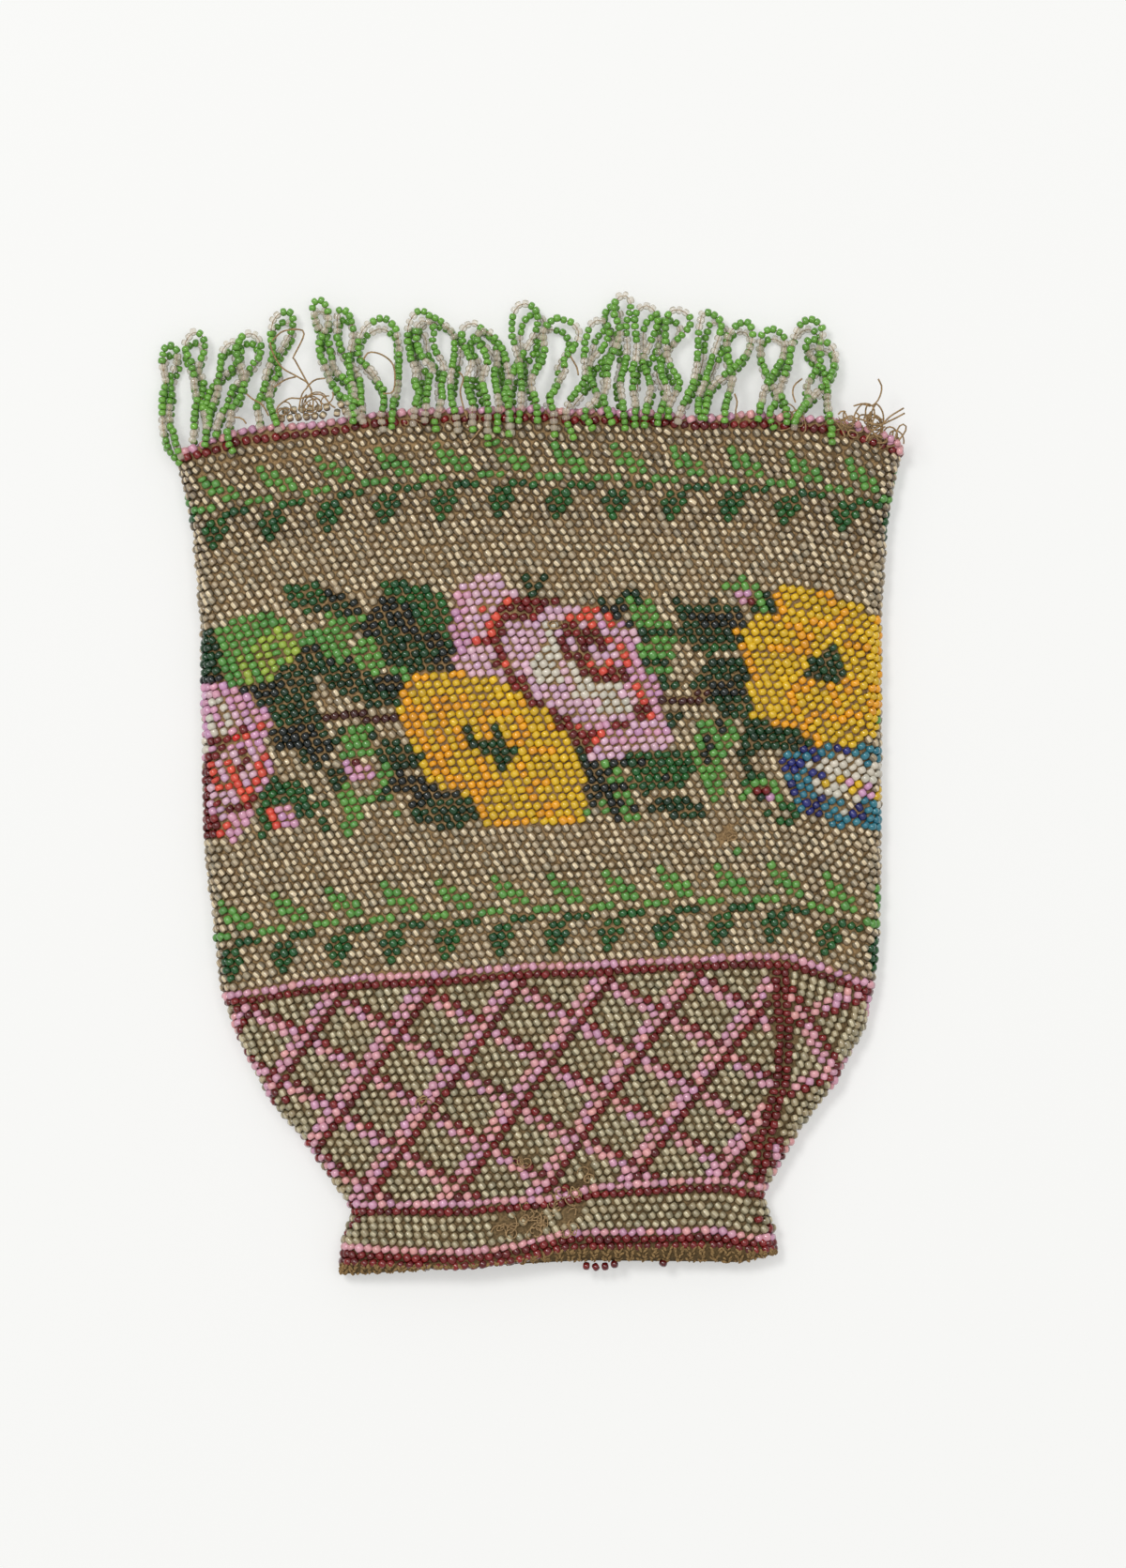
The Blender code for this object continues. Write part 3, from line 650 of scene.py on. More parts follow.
def unit(vectors):
    return vectors / np.linalg.norm(vectors, axis=-1, keepdims=True)


def placed(name, data):
    """A new object in the scene."""
    piece = bpy.data.objects.new(name, data)
    bpy.context.scene.collection.objects.link(piece)
    return piece


def formed(name, shape, material):
    """A piece from a worked shape."""
    mesh = bpy.data.meshes.new(name)
    shape.to_mesh(mesh)
    shape.free()
    mesh.materials.append(material)
    return placed(name, mesh)


def copied(name, bead, places, outward, holes, sizes, kind, material):
    """One piece of many beads: each has its place, the ways outward and along its hole, and its sizes."""
    corners, faces, maps = bead
    number = len(places)
    hole = unit(holes)
    out = unit(outward - hole * (outward * hole).sum(1, keepdims=True))
    aside = np.cross(hole, out)
    local = corners[None] * sizes[:, None, :]
    points = local[..., :1] * out[:, None] + local[..., 1:2] * aside[:, None] + local[..., 2:] * hole[:, None]
    points += places[:, None]
    all_faces = (faces[None] + (np.arange(number) * len(corners))[:, None, None]).reshape(-1, 4)
    mesh = bpy.data.meshes.new(name)
    mesh.vertices.add(points.shape[0] * points.shape[1])
    mesh.vertices.foreach_set("co", points.astype(np.float32).ravel())
    mesh.loops.add(all_faces.size)
    mesh.loops.foreach_set("vertex_index", all_faces.astype(np.int32).ravel())
    mesh.polygons.add(len(all_faces))
    mesh.polygons.foreach_set("loop_start", np.arange(0, all_faces.size, 4, dtype=np.int32))
    mesh.update(calc_edges=True)
    layer = mesh.uv_layers.new(name="bead_map")
    layer.data.foreach_set("uv", np.tile(maps, (number, 1)).astype(np.float32).ravel())
    tint = mesh.attributes.new("tint", "FLOAT_COLOR", "POINT")
    share = chance.random((number, 1))
    mixed = (TINTS[kind] * (1 - share) + OTHER_TINTS[kind] * share) * chance.normal(1.0, 0.06, (number, 1))
    colours = np.concatenate([mixed, np.ones((number, 1))], axis=1)
    tint.data.foreach_set("color", np.repeat(colours, len(corners), axis=0).astype(np.float32).ravel())
    nature = mesh.attributes.new("nature", "FLOAT_COLOR", "POINT")
    facts = np.stack([CLEARNESS[kind], chance.random(number), chance.random(number), np.ones(number)], axis=1)
    nature.data.foreach_set("color", np.repeat(facts, len(corners), axis=0).astype(np.float32).ravel())
    mesh.validate()
    mesh.shade_smooth()
    mesh.materials.append(material)
    return placed(name, mesh)


# %% [markdown]
# ## Materials

# %%


class Nodes:
    """A material's nodes, joined as they are made."""

    def __init__(self, name):
        self.material = bpy.data.materials.new(name)
        self.material.use_nodes = True
        self.tree = self.material.node_tree
        self.shader = self.tree.nodes["Principled BSDF"]

    def add(self, kind, inputs=(), output=0, **settings):
        node = self.tree.nodes.new(kind)
        for key, value in settings.items():
            setattr(node, key, value)
        for socket, value in dict(inputs).items():
            self.feed(node.inputs[socket], value)
        return node.outputs[output]

    def feed(self, socket, value):
        if isinstance(value, bpy.types.NodeSocket):
            self.tree.links.new(value, socket)
        else:
            socket.default_value = value

    def reckon(self, operation, first, second=0.0):
        return self.add("ShaderNodeMath", {0: first, 1: second}, operation=operation)

    def ramp(self, value, start, end, low=0.0, high=1.0):
        return self.add("ShaderNodeMapRange", {0: value, 1: start, 2: end, 3: low, 4: high},
                        interpolation_type="SMOOTHSTEP")

    def blend(self, share, first, second, how="MIX"):
        return self.add("ShaderNodeMix", {0: share, 6: first, 7: second}, output=2, data_type="RGBA",
                        blend_type=how)

    def set(self, **inputs):
        for name, value in inputs.items():
            self.feed(self.shader.inputs[name.replace("_", " ")], value)


def glass(name, thread_and_highlight, strength, see_through=0.0):
    """Glass beads: clear ones have a pale band down their hole, their thread seen through the glass with a
    painted highlight, and a painted shade along their sides; dark ones have a painted glow there, of light
    through the glass.
    """
    make = Nodes(name)
    tint = make.add("ShaderNodeAttribute", attribute_name="tint")
    nature = make.add("ShaderNodeAttribute", attribute_name="nature")
    clear, luck, other = make.add("ShaderNodeSeparateColor", {0: nature}).node.outputs
    place = make.add("ShaderNodeSeparateXYZ", {0: make.add("ShaderNodeUVMap", uv_map="bead_map")}).node
    shifted = make.reckon("ADD", make.reckon("MULTIPLY", luck, 0.08), 0.46)
    aside = make.reckon("ABSOLUTE", make.reckon("SUBTRACT", place.outputs[0], shifted))
    endways = make.reckon("ABSOLUTE", make.reckon("SUBTRACT", place.outputs[1], 0.5))
    # the band down the outer side of each bead: the thread seen through the glass, with a painted highlight
    banded = make.reckon("MULTIPLY", make.ramp(aside, 0.085, 0.05), make.ramp(endways, 0.5, 0.4))
    banded = make.reckon("MULTIPLY", banded, make.ramp(aside, 0.0, 0.022, 0.72, 1.0))
    bright = make.reckon("MULTIPLY", make.reckon("MULTIPLY", banded, clear),
                         make.ramp(other, 0.0, 1.0, 0.3, 1.0))
    # the flanks of a clear bead are darkened by up to a third: painted shade of the glass's dark outline
    sides = make.reckon("MULTIPLY", make.ramp(aside, 0.15, 0.22), make.ramp(aside, 0.36, 0.29))
    shaded_rim = make.reckon("MULTIPLY", sides, clear)
    dim = make.blend(make.reckon("MULTIPLY", shaded_rim, 0.3), tint, (0.0, 0.0, 0.0, 1))
    # on the dark beads the band is their own tint made 2.4 times brighter: a painted glow of light through
    # the glass
    painted_glow = make.blend(1.0, tint, (2.4, 2.4, 2.4, 1), how="MULTIPLY")
    glow = make.blend(make.ramp(clear, 0.5, 0.9), painted_glow, (*thread_and_highlight, 1))
    pale = make.blend(make.reckon("MULTIPLY", bright, strength), dim, glow)
    make.set(Base_Color=pale, Roughness=0.12, Coat_Weight=0.5, Coat_Roughness=0.03)
    if see_through:
        hidden = make.reckon("MULTIPLY", make.reckon("SUBTRACT", clear, shaded_rim), see_through)
        make.set(Alpha=make.reckon("SUBTRACT", 1.0, hidden))
    return make.material


def thread_material(name, colour, scale):
    """Tan thread, with a finer or coarser mottle of its dark shade."""
    make = Nodes(name)
    place = make.add("ShaderNodeTexCoord", output=3)
    fuzz = make.add("ShaderNodeTexNoise", {"Vector": place, "Scale": scale, "Detail": 4.0, "Roughness": 0.7})
    dark = tuple(c * 0.45 for c in colour)
    shade = make.blend(make.ramp(fuzz, 0.35, 0.65), (*dark, 1), (*colour, 1))
    make.set(Base_Color=shade, Roughness=0.9, Specular_IOR_Level=0.2)
    return make.material


# each first colour is the pale band down a clear bead's hole: its thread seen through the glass, with a
# painted highlight
knit_glass = glass("knit_glass", linear(0.91, 0.83, 0.68), 0.9)
pink_glass = glass("pink_and_garnet_glass", linear(0.88, 0.80, 0.66), 0.9)
lattice_glass = glass("lattice_glass", linear(0.82, 0.77, 0.63), 0.85)
fringe_glass = glass("fringe_glass", linear(0.95, 0.91, 0.83), 0.6, see_through=0.65)
thread = thread_material("tan_thread", linear(0.62, 0.50, 0.33), 2500)
pale_thread = thread_material("pale_thread", linear(0.68, 0.56, 0.40), 1800)
dark_thread = thread_material("shaded_thread", linear(0.40, 0.32, 0.20), 2500)
ground = thread_material("brown_ground", linear(0.65, 0.53, 0.37), 1500)
lattice_ground = thread_material("lattice_ground", linear(0.51, 0.42, 0.29), 1500)
print("materials made")

# %% [markdown]
# ## The knit, band by band
# In each band the middle of the front rides on the front that lifts, the strips beside it are baked where
# they lie, and the folds and the back stay with the bag.

# %%
BANDS = [
    ("mouth_edging", 0, 1, "mouth_edging", "pink_and_garnet_beads", pink_glass),
    ("floral_top", 2, 12, "floral_band", "floral_beads", knit_glass),
    ("floral_upper", 13, 28, None, "floral_beads", knit_glass),
    ("floral_middle", 29, 44, None, "floral_beads", knit_glass),
    ("floral_lower", 45, 58, None, "floral_beads", knit_glass),
    ("floral_hem", 59, 71, None, "floral_beads", knit_glass),
    ("lattice_upper", 72, 85, "lattice_band", "lattice_beads", lattice_glass),
    ("lattice_lower", 86, 98, None, "lattice_beads", lattice_glass),
    ("foot", 99, 107, "foot_band", "foot_beads", lattice_glass),
]

coloured = CLEARNESS[kinds] < 0.9
leaning = leans + np.where(coloured, 0, CLEAR_LEAN) + chance.normal(0, 0.13, count)
across = np.stack([normals[:, 2], np.zeros(count), -normals[:, 0]], axis=1)
upward = np.array([0.0, 1.0, 0.0])
holes = upward * np.cos(leaning)[:, None] - across * np.sin(leaning)[:, None]
holes += normals * chance.normal(0, 0.12, (count, 1))
sway = across * chance.normal(0, 0.09 * MM, (count, 1)) + upward * chance.normal(0, 0.09 * MM, (count, 1))
lifts = np.clip(chance.normal(-0.04 * MM, 0.12 * MM, (count, 1)), -0.3 * MM, 0.15 * MM)
centres = centres + sway + normals * lifts
widths = np.clip(chance.normal(0.99, 0.06, count), 0.8, 1.1) * BEAD / 2
lengths = np.clip(chance.normal(1.0, 0.12, count), 0.7, 1.25) * BEAD_LENGTH
widths *= np.where(coloured, 1.03, 1.0)
lengths *= np.where(coloured, 1.1, 1.14)
sizes = np.stack([widths, widths, lengths], axis=1)
centres[:, 2] = np.maximum(centres[:, 2], np.maximum(widths, lengths / 2))
inner = corners - FOLD_WIDTH + SIDE_RADIUS


def bend_line(first, last, side):
    """Where a strip starts to leave the bag, and where it has joined the front."""
    ends = []
    for row in (first - 0.5, last + 0.5):
        row = max(row, 0)
        place, _ = on_tube(row, side * (half_width(row) - SIDE_RADIUS), 0)
        ends.append(Vector(place))
    edge = (ends[0] - ends[1]).normalized()
    inward = Vector((-side * edge.y, side * edge.x, 0))
    start = (ends[0] + ends[1]) / 2
    start.z = 0
    return start, start + inward * (FOLD_WIDTH - SIDE_RADIUS) * abs(edge.y)


def fixed(piece, part, first, last, node, slot_name):
    """Fastens a piece to the bag or to the front that lifts, or bakes a strip that bends where it lies, and
    hides the part of the frame that it stands for.
    """
    lifting = last <= LAST_LATTICE
    if part in ("left", "right") and lifting:
        start, end = bend_line(first, last, -1 if part == "left" else 1)
        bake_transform(piece)
        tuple(start)
        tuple(end)
    else:
        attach(piece, "front_of_pocket" if part == "middle" and lifting else "bag")
    if node and part == "middle":
        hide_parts(node + "_front")
    if node and part == "back":
        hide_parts(node + "_back")


for name, first, last, node, slot_name, material in BANDS:
    banded = kept & (rounds >= first) & (rounds <= last)
    parts = {
        "middle": banded & (away < inner),
        "left": banded & on_front & (away >= inner) & (ways < 0),
        "right": banded & on_front & (away >= inner) & (ways > 0),
        "back": banded & ~on_front,
    }
    for part, chosen in parts.items():
        bead = PLAIN_BEAD if part == "back" else FINE_BEAD
        piece = copied(f"{name}_{part}_beads", bead, centres[chosen], normals[chosen], holes[chosen],
                       sizes[chosen], kinds[chosen], material)
        fixed(piece, part, first, last, node, slot_name)
print("knit made of", len(BANDS) * 4, "pieces")

# %% [markdown]
# ## The thread ground under the beads

# %%
GROUND_DEPTH = 1.2 * MM
GROUND_THICKNESS = 0.4 * MM
ROUND_MARGIN = 0.55  # rounds past the band's first and last


def ground_piece(name, first, last, start_way, end_way, columns, part):
    """A closed thin layer of knit under the beads: the ways are functions of the round."""
    top = first - ROUND_MARGIN
    height = last - first + 2 * ROUND_MARGIN
    layer = bmesh.new()
    steps = max(int((last - first) / 2), 2)
    bmesh.ops.create_grid(layer, x_segments=columns, y_segments=steps, size=1)
    for vertex in layer.verts:
        row = min(max(top + height * (1 - vertex.co.y) / 2, -0.4), LAST_ROUND)
        share = (vertex.co.x + 1) / 2
        way = start_way(row) + (end_way(row) - start_way(row)) * share
        vertex.co = on_tube(max(row, 0), way, GROUND_DEPTH)[0]
    bmesh.ops.recalc_face_normals(layer, faces=layer.faces)
    bmesh.ops.solidify(layer, geom=layer.faces[:], thickness=GROUND_THICKNESS)
    bmesh.ops.recalc_face_normals(layer, faces=layer.faces)
    piece = formed(name, layer, lattice_ground if first > LAST_FLORAL else ground)
    piece.data.shade_smooth()
    fixed(piece, part, first, last, None, "tan_knit")
    rows = np.linspace(max(top, 0), last + ROUND_MARGIN, 12)
    reaches = np.array([end_way(row) - start_way(row) for row in rows])
    heights = line_of(rows)


def strip_edge(row):
    return float(half_width(row)) - FOLD_WIDTH


def fold_edge(row):
    return float(half_width(row)) - SIDE_RADIUS


def back_reach(row):
    return 2 * float(half_girth(row)) - fold_edge(row)


# each part's two edges and its columns
GROUND_PARTS = {
    "middle": (lambda row: -strip_edge(row), strip_edge, 24),
    "left": (lambda row: -fold_edge(row), lambda row: -strip_edge(row), 5),
    "right": (strip_edge, fold_edge, 5),
    "back": (fold_edge, back_reach, 60),
}
for name, first, last, *_ in BANDS[1:]:
    first = 0 if name == "floral_top" else first
    for part, (start_way, end_way, columns) in GROUND_PARTS.items():
        ground_piece(f"{name}_{part}_ground", first, last, start_way, end_way, columns, part)
print("ground made")

# %% [markdown]
# ## The bare knitted base
# Below the last garnet round the tan knit shows its own small stitches, and turns under to close the bag.

# %%
BASE_START = 107.4
BASE_END = 110.0
BASE_STITCHES = 76


def base_place(row, way, depth):
    """On the base, the front and the back close on each other towards the lower edge."""
    place, normal = on_tube(row, way, depth)
    share = np.clip((np.asarray(row, float) - BASE_START) / (BASE_END - BASE_START), 0, 1)
    middle = 0.5 * along_line(THICKS, line_of(row))
    place[..., 2] = middle + (place[..., 2] - middle) * np.sqrt(1 - 0.93 * share**2)
    return place, normal


stitch_rows, stitch_ways, stitch_leans = [], [], []
for row in (107.6, 108.1, 108.6, 109.1, 109.6, 109.9):
    pitch = 2 * float(half_girth(row)) / BASE_STITCHES
    for column in range(BASE_STITCHES):
        for leg in (-1, 1):
            stitch_rows.append(min(row + chance.normal(0, 0.14), BASE_END))
            stitch_ways.append((column + 0.21 * leg + chance.normal(0, 0.1)) * pitch)
            stitch_leans.append(0.75 * leg + chance.normal(0, 0.22))
stitch_places, stitch_normals = base_place(np.array(stitch_rows), np.array(stitch_ways), 0.4 * MM)
stitch_places += stitch_normals * chance.normal(0, 0.07 * MM, (len(stitch_rows), 1))
stitch_places[:, 2] = np.maximum(stitch_places[:, 2], 0.45 * MM)
stitch_across = np.stack([stitch_normals[:, 2], 0 * stitch_normals[:, 2], -stitch_normals[:, 0]], axis=1)
stitch_leans = np.array(stitch_leans)[:, None]
stitch_holes = upward * np.cos(stitch_leans) + stitch_across * np.sin(stitch_leans)
stitch_sizes = np.array([0.36 * MM, 0.3 * MM, 1.15 * MM]) * chance.normal(1, 0.13, (len(stitch_rows), 1))
stitch_kinds = np.full(len(stitch_rows), NAMES.index("thread"))
base = copied("knitted_base_stitches", STITCH_LEG, stitch_places, stitch_normals, stitch_holes, stitch_sizes,
              stitch_kinds, thread)
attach(base, "bag")
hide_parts("knitted_base")

core = bmesh.new()
bmesh.ops.create_cone(core, cap_ends=False, segments=120, radius1=1, radius2=1, depth=2)
lengthways = [edge for edge in core.edges if abs(edge.verts[0].co.z - edge.verts[1].co.z) > 1]
bmesh.ops.subdivide_edges(core, edges=lengthways, cuts=7)
for vertex in core.verts:
    row = BASE_START - 0.6 + (BASE_END - BASE_START + 0.6) * (1 - vertex.co.z) / 2
    turn = math.atan2(vertex.co.x, vertex.co.y) / math.pi
    vertex.co = base_place(row, turn * float(half_girth(row)), 0.5 * MM)[0]
rims = [edge for edge in core.edges if edge.is_boundary]
bmesh.ops.holes_fill(core, edges=rims, sides=0)
bmesh.ops.recalc_face_normals(core, faces=core.faces)
# the core's thread is darker than the stitches': painted shade in the gaps between them
core_piece = formed("knitted_base_core", core, dark_thread)
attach(core_piece, "bag")
print("base made")

# %% [markdown]
# ## The fringe
# Each loop is a strand of beads, five green and three clear in turn. The front loops are followed in the
# photo from foot to foot, and the back loops lie under them.

# %%
# each loop's clump, how many beads from its top a clear run lies, and its strand from foot to foot
FRONT_LOOPS = [
    (1, 3, [(190, 492), (183, 485), (176.5, 474), (172.6, 457), (171.5, 440), (171.8, 418), (175.5, 405),
        (172, 392), (170.9, 380), (174, 369.5), (180, 366), (186.5, 372), (187, 383), (181.5, 396),
        (179.5, 406), (181.5, 418), (178.5, 432), (179.4, 450), (184, 462), (187.5, 476), (192.5, 486)]),
    (1, -1, [(205, 468), (206, 455), (206.5, 445), (207, 432), (209, 424), (206, 412), (206, 399), (202, 386),
        (196.5, 372), (197, 361), (205.5, 352.5), (214, 355.8), (217, 367), (213.5, 379), (209.5, 389),
        (212, 398), (216, 406), (214.5, 417), (213, 428), (217, 440), (219, 452), (219.5, 462),
        (218.2, 474)]),
    (2, -1, [(222, 452), (222, 440), (227, 428), (231, 416), (230.5, 405), (232.5, 395), (233.4, 385),
        (235, 374), (239, 366.5), (246, 362.5), (252.5, 367), (256, 376), (251, 385), (243, 392.5),
        (234, 400), (227, 408), (222, 418), (219, 430), (219, 442), (219, 455)]),
    (2, 1, [(248, 480), (243.6, 471), (241.9, 459), (245.5, 445), (246, 434), (253, 426), (257.5, 416),
        (259.5, 405), (258, 393), (253, 382), (250.5, 371), (255, 359), (261, 354.5), (269, 354),
        (275, 360.5), (277, 370), (274.5, 379), (267, 387), (262, 396), (254, 405), (247.5, 413.5),
        (243, 424), (239.4, 435), (234, 443), (231, 453), (229.5, 463)]),
    (3, -2, [(276, 454), (275, 441), (273, 431), (276.5, 423), (281, 412), (282, 400), (285, 389), (289, 379),
        (289.5, 368), (287.5, 357), (288.3, 346), (291, 338), (297, 332), (303, 330), (309, 333),
        (311.2, 341), (309, 350.5), (304, 360), (299, 369), (294, 378), (294, 388), (296.5, 395),
        (292.5, 403), (288, 411), (286.5, 420), (287, 431), (291, 441), (294, 450), (297, 458)]),
    (3, 4, [(383, 446), (377, 436), (373, 426), (364, 422), (357, 414), (351.5, 405), (349, 397), (345, 388),
        (341.5, 379), (339, 368), (342, 357), (346.5, 348), (349, 339), (348, 329), (344.5, 321),
        (339, 317.5), (334, 320), (332.3, 327), (334.5, 336), (338, 346), (343, 355), (349.5, 363),
        (351.8, 373), (352.6, 383), (356, 391.5), (361.5, 399), (368, 404), (373, 411), (374, 420),
        (372, 430), (372, 443)]),
    (4, 2, [(376, 449), (377, 432), (377, 418), (374, 404), (371.5, 392), (371, 380), (374, 368),
        (375.5, 356), (375, 345), (372, 335), (367, 329), (361.5, 328), (358.5, 335), (358.3, 346),
        (358.5, 356), (361, 367), (367, 377), (373, 386), (379, 395), (383, 405), (384, 418), (385, 432),
        (387, 450)]),
    (4, -3, [(408, 457), (406.7, 449), (407.5, 437), (408.5, 427), (408, 415), (404, 409), (401, 402),
        (397, 395), (391, 389), (385, 383), (381.5, 375), (381.3, 366), (382.5, 357), (386.4, 349),
        (391.5, 344), (400, 339), (406.7, 337.2), (414, 341), (421, 348), (423.6, 357.5), (424.4, 369),
        (424.6, 380), (424.5, 392), (424.5, 403), (423.5, 413), (421, 424), (418.5, 434), (417.7, 444),
        (418, 455)]),
    (5, -3, [(441, 452), (441, 441), (443, 430), (446, 419), (442, 408), (443, 396), (438.5, 384),
        (436.5, 374), (433.8, 364), (433.5, 354), (435, 343), (441, 333), (449, 329), (457.9, 335.3),
        (468.2, 339.6), (477, 348), (482.9, 355), (483.8, 366), (483.7, 377), (481.5, 389), (480.3, 400),
        (480.3, 412), (480.5, 424), (484, 436), (487, 448), (488, 459)]),
    (5, 0, [(453, 448), (454, 434), (455, 422), (456, 410), (458, 399), (461, 392), (453.5, 384), (448, 377),
        (444.5, 367), (443.3, 356), (443, 346), (449, 340), (457, 342), (462, 350), (461, 362), (463.5, 372),
        (468, 380), (473, 389), (472, 400), (470, 412), (471, 424), (468, 436), (464, 448), (465, 457)]),
    (5, -1, [(504, 458), (503, 446), (504, 434), (501, 422), (497, 410), (498, 398), (502, 388), (500, 378),
        (496, 370), (492, 360), (491.5, 351), (497, 344), (506, 343), (514, 349), (521, 356), (527.5, 364),
        (529.5, 375), (529.4, 386), (526.5, 396), (528, 408), (530, 420), (531, 432), (530, 444),
        (530, 458)]),
    (6, 0, [(520, 474), (520, 462), (520, 444), (520, 432), (517, 420), (514, 408), (516, 396), (519, 385),
        (516, 374), (510, 366), (508, 357), (512, 350.5), (520, 352), (527, 359), (533, 367), (537, 377),
        (540, 388), (542, 399), (541, 410), (538, 421), (541, 432), (542, 444), (543, 462)]),
    (6, -1, [(553, 448), (554.5, 436), (555.5, 424), (556, 411), (555, 398), (553, 385), (550, 373),
        (547.4, 362), (544.9, 351), (545, 341), (547, 332), (551, 325), (558, 321.5), (565, 323), (571, 330),
        (573.3, 339), (571, 350), (566, 360), (560, 370), (554, 380), (549, 391), (544.5, 402), (542.5, 414),
        (543, 426), (543, 438), (544, 450), (545, 461)]),
    (6, 4, [(572, 448), (572.4, 437), (570.5, 425), (567, 414), (566.5, 405), (570, 395), (577, 384),
        (581, 374), (579.5, 362), (578.5, 352), (584, 343.5), (592, 338), (600, 339.5), (608, 341),
        (614.5, 347), (617, 355), (613, 366), (607, 374.5), (600.5, 383), (602, 393), (597, 404), (592, 414),
        (586, 424), (589, 436), (590, 448), (591, 463)]),
    (7, 0, [(611, 466), (605, 452), (603, 440), (607, 428), (614, 418), (621, 408), (624, 397), (622.5, 385),
        (623, 372), (624, 360), (627.5, 348), (633, 341), (640, 339), (647, 343.5), (650, 352), (647.5, 361),
        (642, 369), (635, 376), (630, 383), (627, 393), (629, 404), (634, 414), (636, 424), (628, 433),
        (622, 441), (626, 448), (632, 456)]),
    (7, 0, [(652, 450), (647, 438), (643, 427), (645, 416), (648, 405), (647, 394), (650, 383), (655, 373),
        (659.5, 362), (661.5, 351), (658, 341), (654.5, 332), (655, 322), (660, 314.5), (667, 313),
        (672.5, 319), (672, 330), (668.5, 341), (667.5, 352), (668.5, 364), (669, 376), (666, 388),
        (662, 400), (661, 412), (663, 424), (664.5, 436), (665, 448), (665.5, 457)]),
    (7, 0, [(677, 453), (676, 440), (677, 428), (674, 416), (676, 404), (674, 393), (677, 382), (678.5, 370),
        (678, 358), (676.7, 346), (678.3, 334), (683, 326), (690, 323.5), (697, 328), (701, 337),
        (699.5, 348), (694.8, 360), (690, 371), (685, 382), (688, 393), (692, 404), (693, 416), (690, 428),
        (688, 440), (687, 453)]),
    (8, 0, [(712, 445), (714, 432), (719, 421), (724, 410), (722, 400), (716, 391), (712, 381), (710, 370),
        (709.8, 358), (709.8, 346), (712, 335), (718, 328.5), (726, 329), (733, 333), (736.5, 341),
        (732, 350), (725, 357), (718, 365), (712, 374), (706, 384), (705, 395), (709, 406), (711, 418),
        (707, 430), (702, 443), (701, 451)]),
    (8, -2, [(722, 449), (727, 433), (733, 421), (738, 410), (741, 398), (743, 386), (744.5, 374),
        (744.7, 362), (745, 351), (747, 340), (750, 331), (757, 332), (764, 335.5), (769.5, 343),
        (768.5, 353), (764.5, 364), (760.5, 376), (757, 388), (753.5, 399), (750, 410), (746, 421),
        (744, 432), (747, 445)]),
    (9, 4, [(750, 446), (753.5, 429), (756, 418), (761, 409), (768, 402.5), (775, 396.5), (782.5, 390.5),
        (790, 383.5), (797, 374.5), (801.5, 364), (803, 353), (799.5, 343.5), (793.5, 341.5), (786, 344.5),
        (779, 352), (775.5, 362), (776.5, 373), (778, 384), (780, 395), (780.8, 406), (778, 417),
        (774.5, 428), (772.5, 438), (772.5, 448)]),
    (9, 4, [(808, 446), (811.3, 429.5), (812.5, 419), (817, 410), (822.5, 401.5), (828, 391.5), (834.5, 382),
        (837.3, 370), (837, 359), (831, 351.5), (823.3, 349.5), (815, 352), (811, 360), (811, 371),
        (812.5, 383), (817, 394), (820.5, 404), (826, 413), (828.5, 423), (825, 431), (820, 438), (821, 446),
        (824.3, 456)]),
    (10, -4, [(838, 450), (838, 434), (833, 423), (832, 412), (836, 401), (840, 390), (842.5, 379),
        (844, 368), (847, 358), (851.5, 348), (858, 340.5), (866, 338.5), (873, 342.5), (877.5, 350),
        (877, 360), (875, 370), (876, 380), (872, 391), (866, 400), (861, 409), (862, 419), (859, 430),
        (853, 438), (848, 447), (846, 455)]),
    (10, 4, [(846.4, 450), (851.5, 440), (857.5, 431), (865, 423.5), (872, 416), (879, 408.5), (885, 401),
        (889.5, 391), (891.5, 380), (889, 370), (883, 364), (875, 362), (867, 360), (861, 363), (862, 372),
        (868, 380), (875, 387), (879.5, 396), (881, 407), (883, 418), (882.5, 429), (884, 440), (885.5, 452),
        (886.5, 462), (887.3, 471)]),
]


def evenly(route, step):
    """Places at even steps along a route."""
    lengths = np.concatenate([[0], np.cumsum(np.linalg.norm(np.diff(route, axis=0), axis=1))])
    wanted = np.linspace(0, lengths[-1], max(int(lengths[-1] / step), 2) + 1)
    return np.stack([np.interp(wanted, lengths, route[:, axis]) for axis in range(route.shape[1])], axis=1)


def curved(stations, step):
    """Places at even steps along a smooth curve through stations."""
    stations = np.array(stations, float)
    padded = np.vstack([2 * stations[0] - stations[1], stations, 2 * stations[-1] - stations[-2]])
    pieces = []
    shares = np.linspace(0, 1, 12, endpoint=False)[:, None]
    for before, start, end, after in zip(padded, padded[1:], padded[2:], padded[3:]):
        pieces.append(0.5 * (2 * start + (end - before) * shares + (2 * before - 5 * start + 4 * end - after)
                             * shares**2 + (3 * start - before - 3 * end + after) * shares**3))
    return evenly(np.vstack(pieces + [stations[-1:]]), step)


def eased(share):
    """From 0 to 1, with a slow start and a slow end."""
    share = np.clip(share, 0, 1)
    return share * share * (3 - 2 * share)


def mouth_height(x_pixel):
    """The photo height of the mouth's edge."""
    return photo_height(0.0, x_pixel) - 5


def past_the_mouth(x, y):
    """How far out of the mouth's edge a place is."""
    return y - to_y(mouth_height(to_pixel_x(x)))


inner_threads = {}


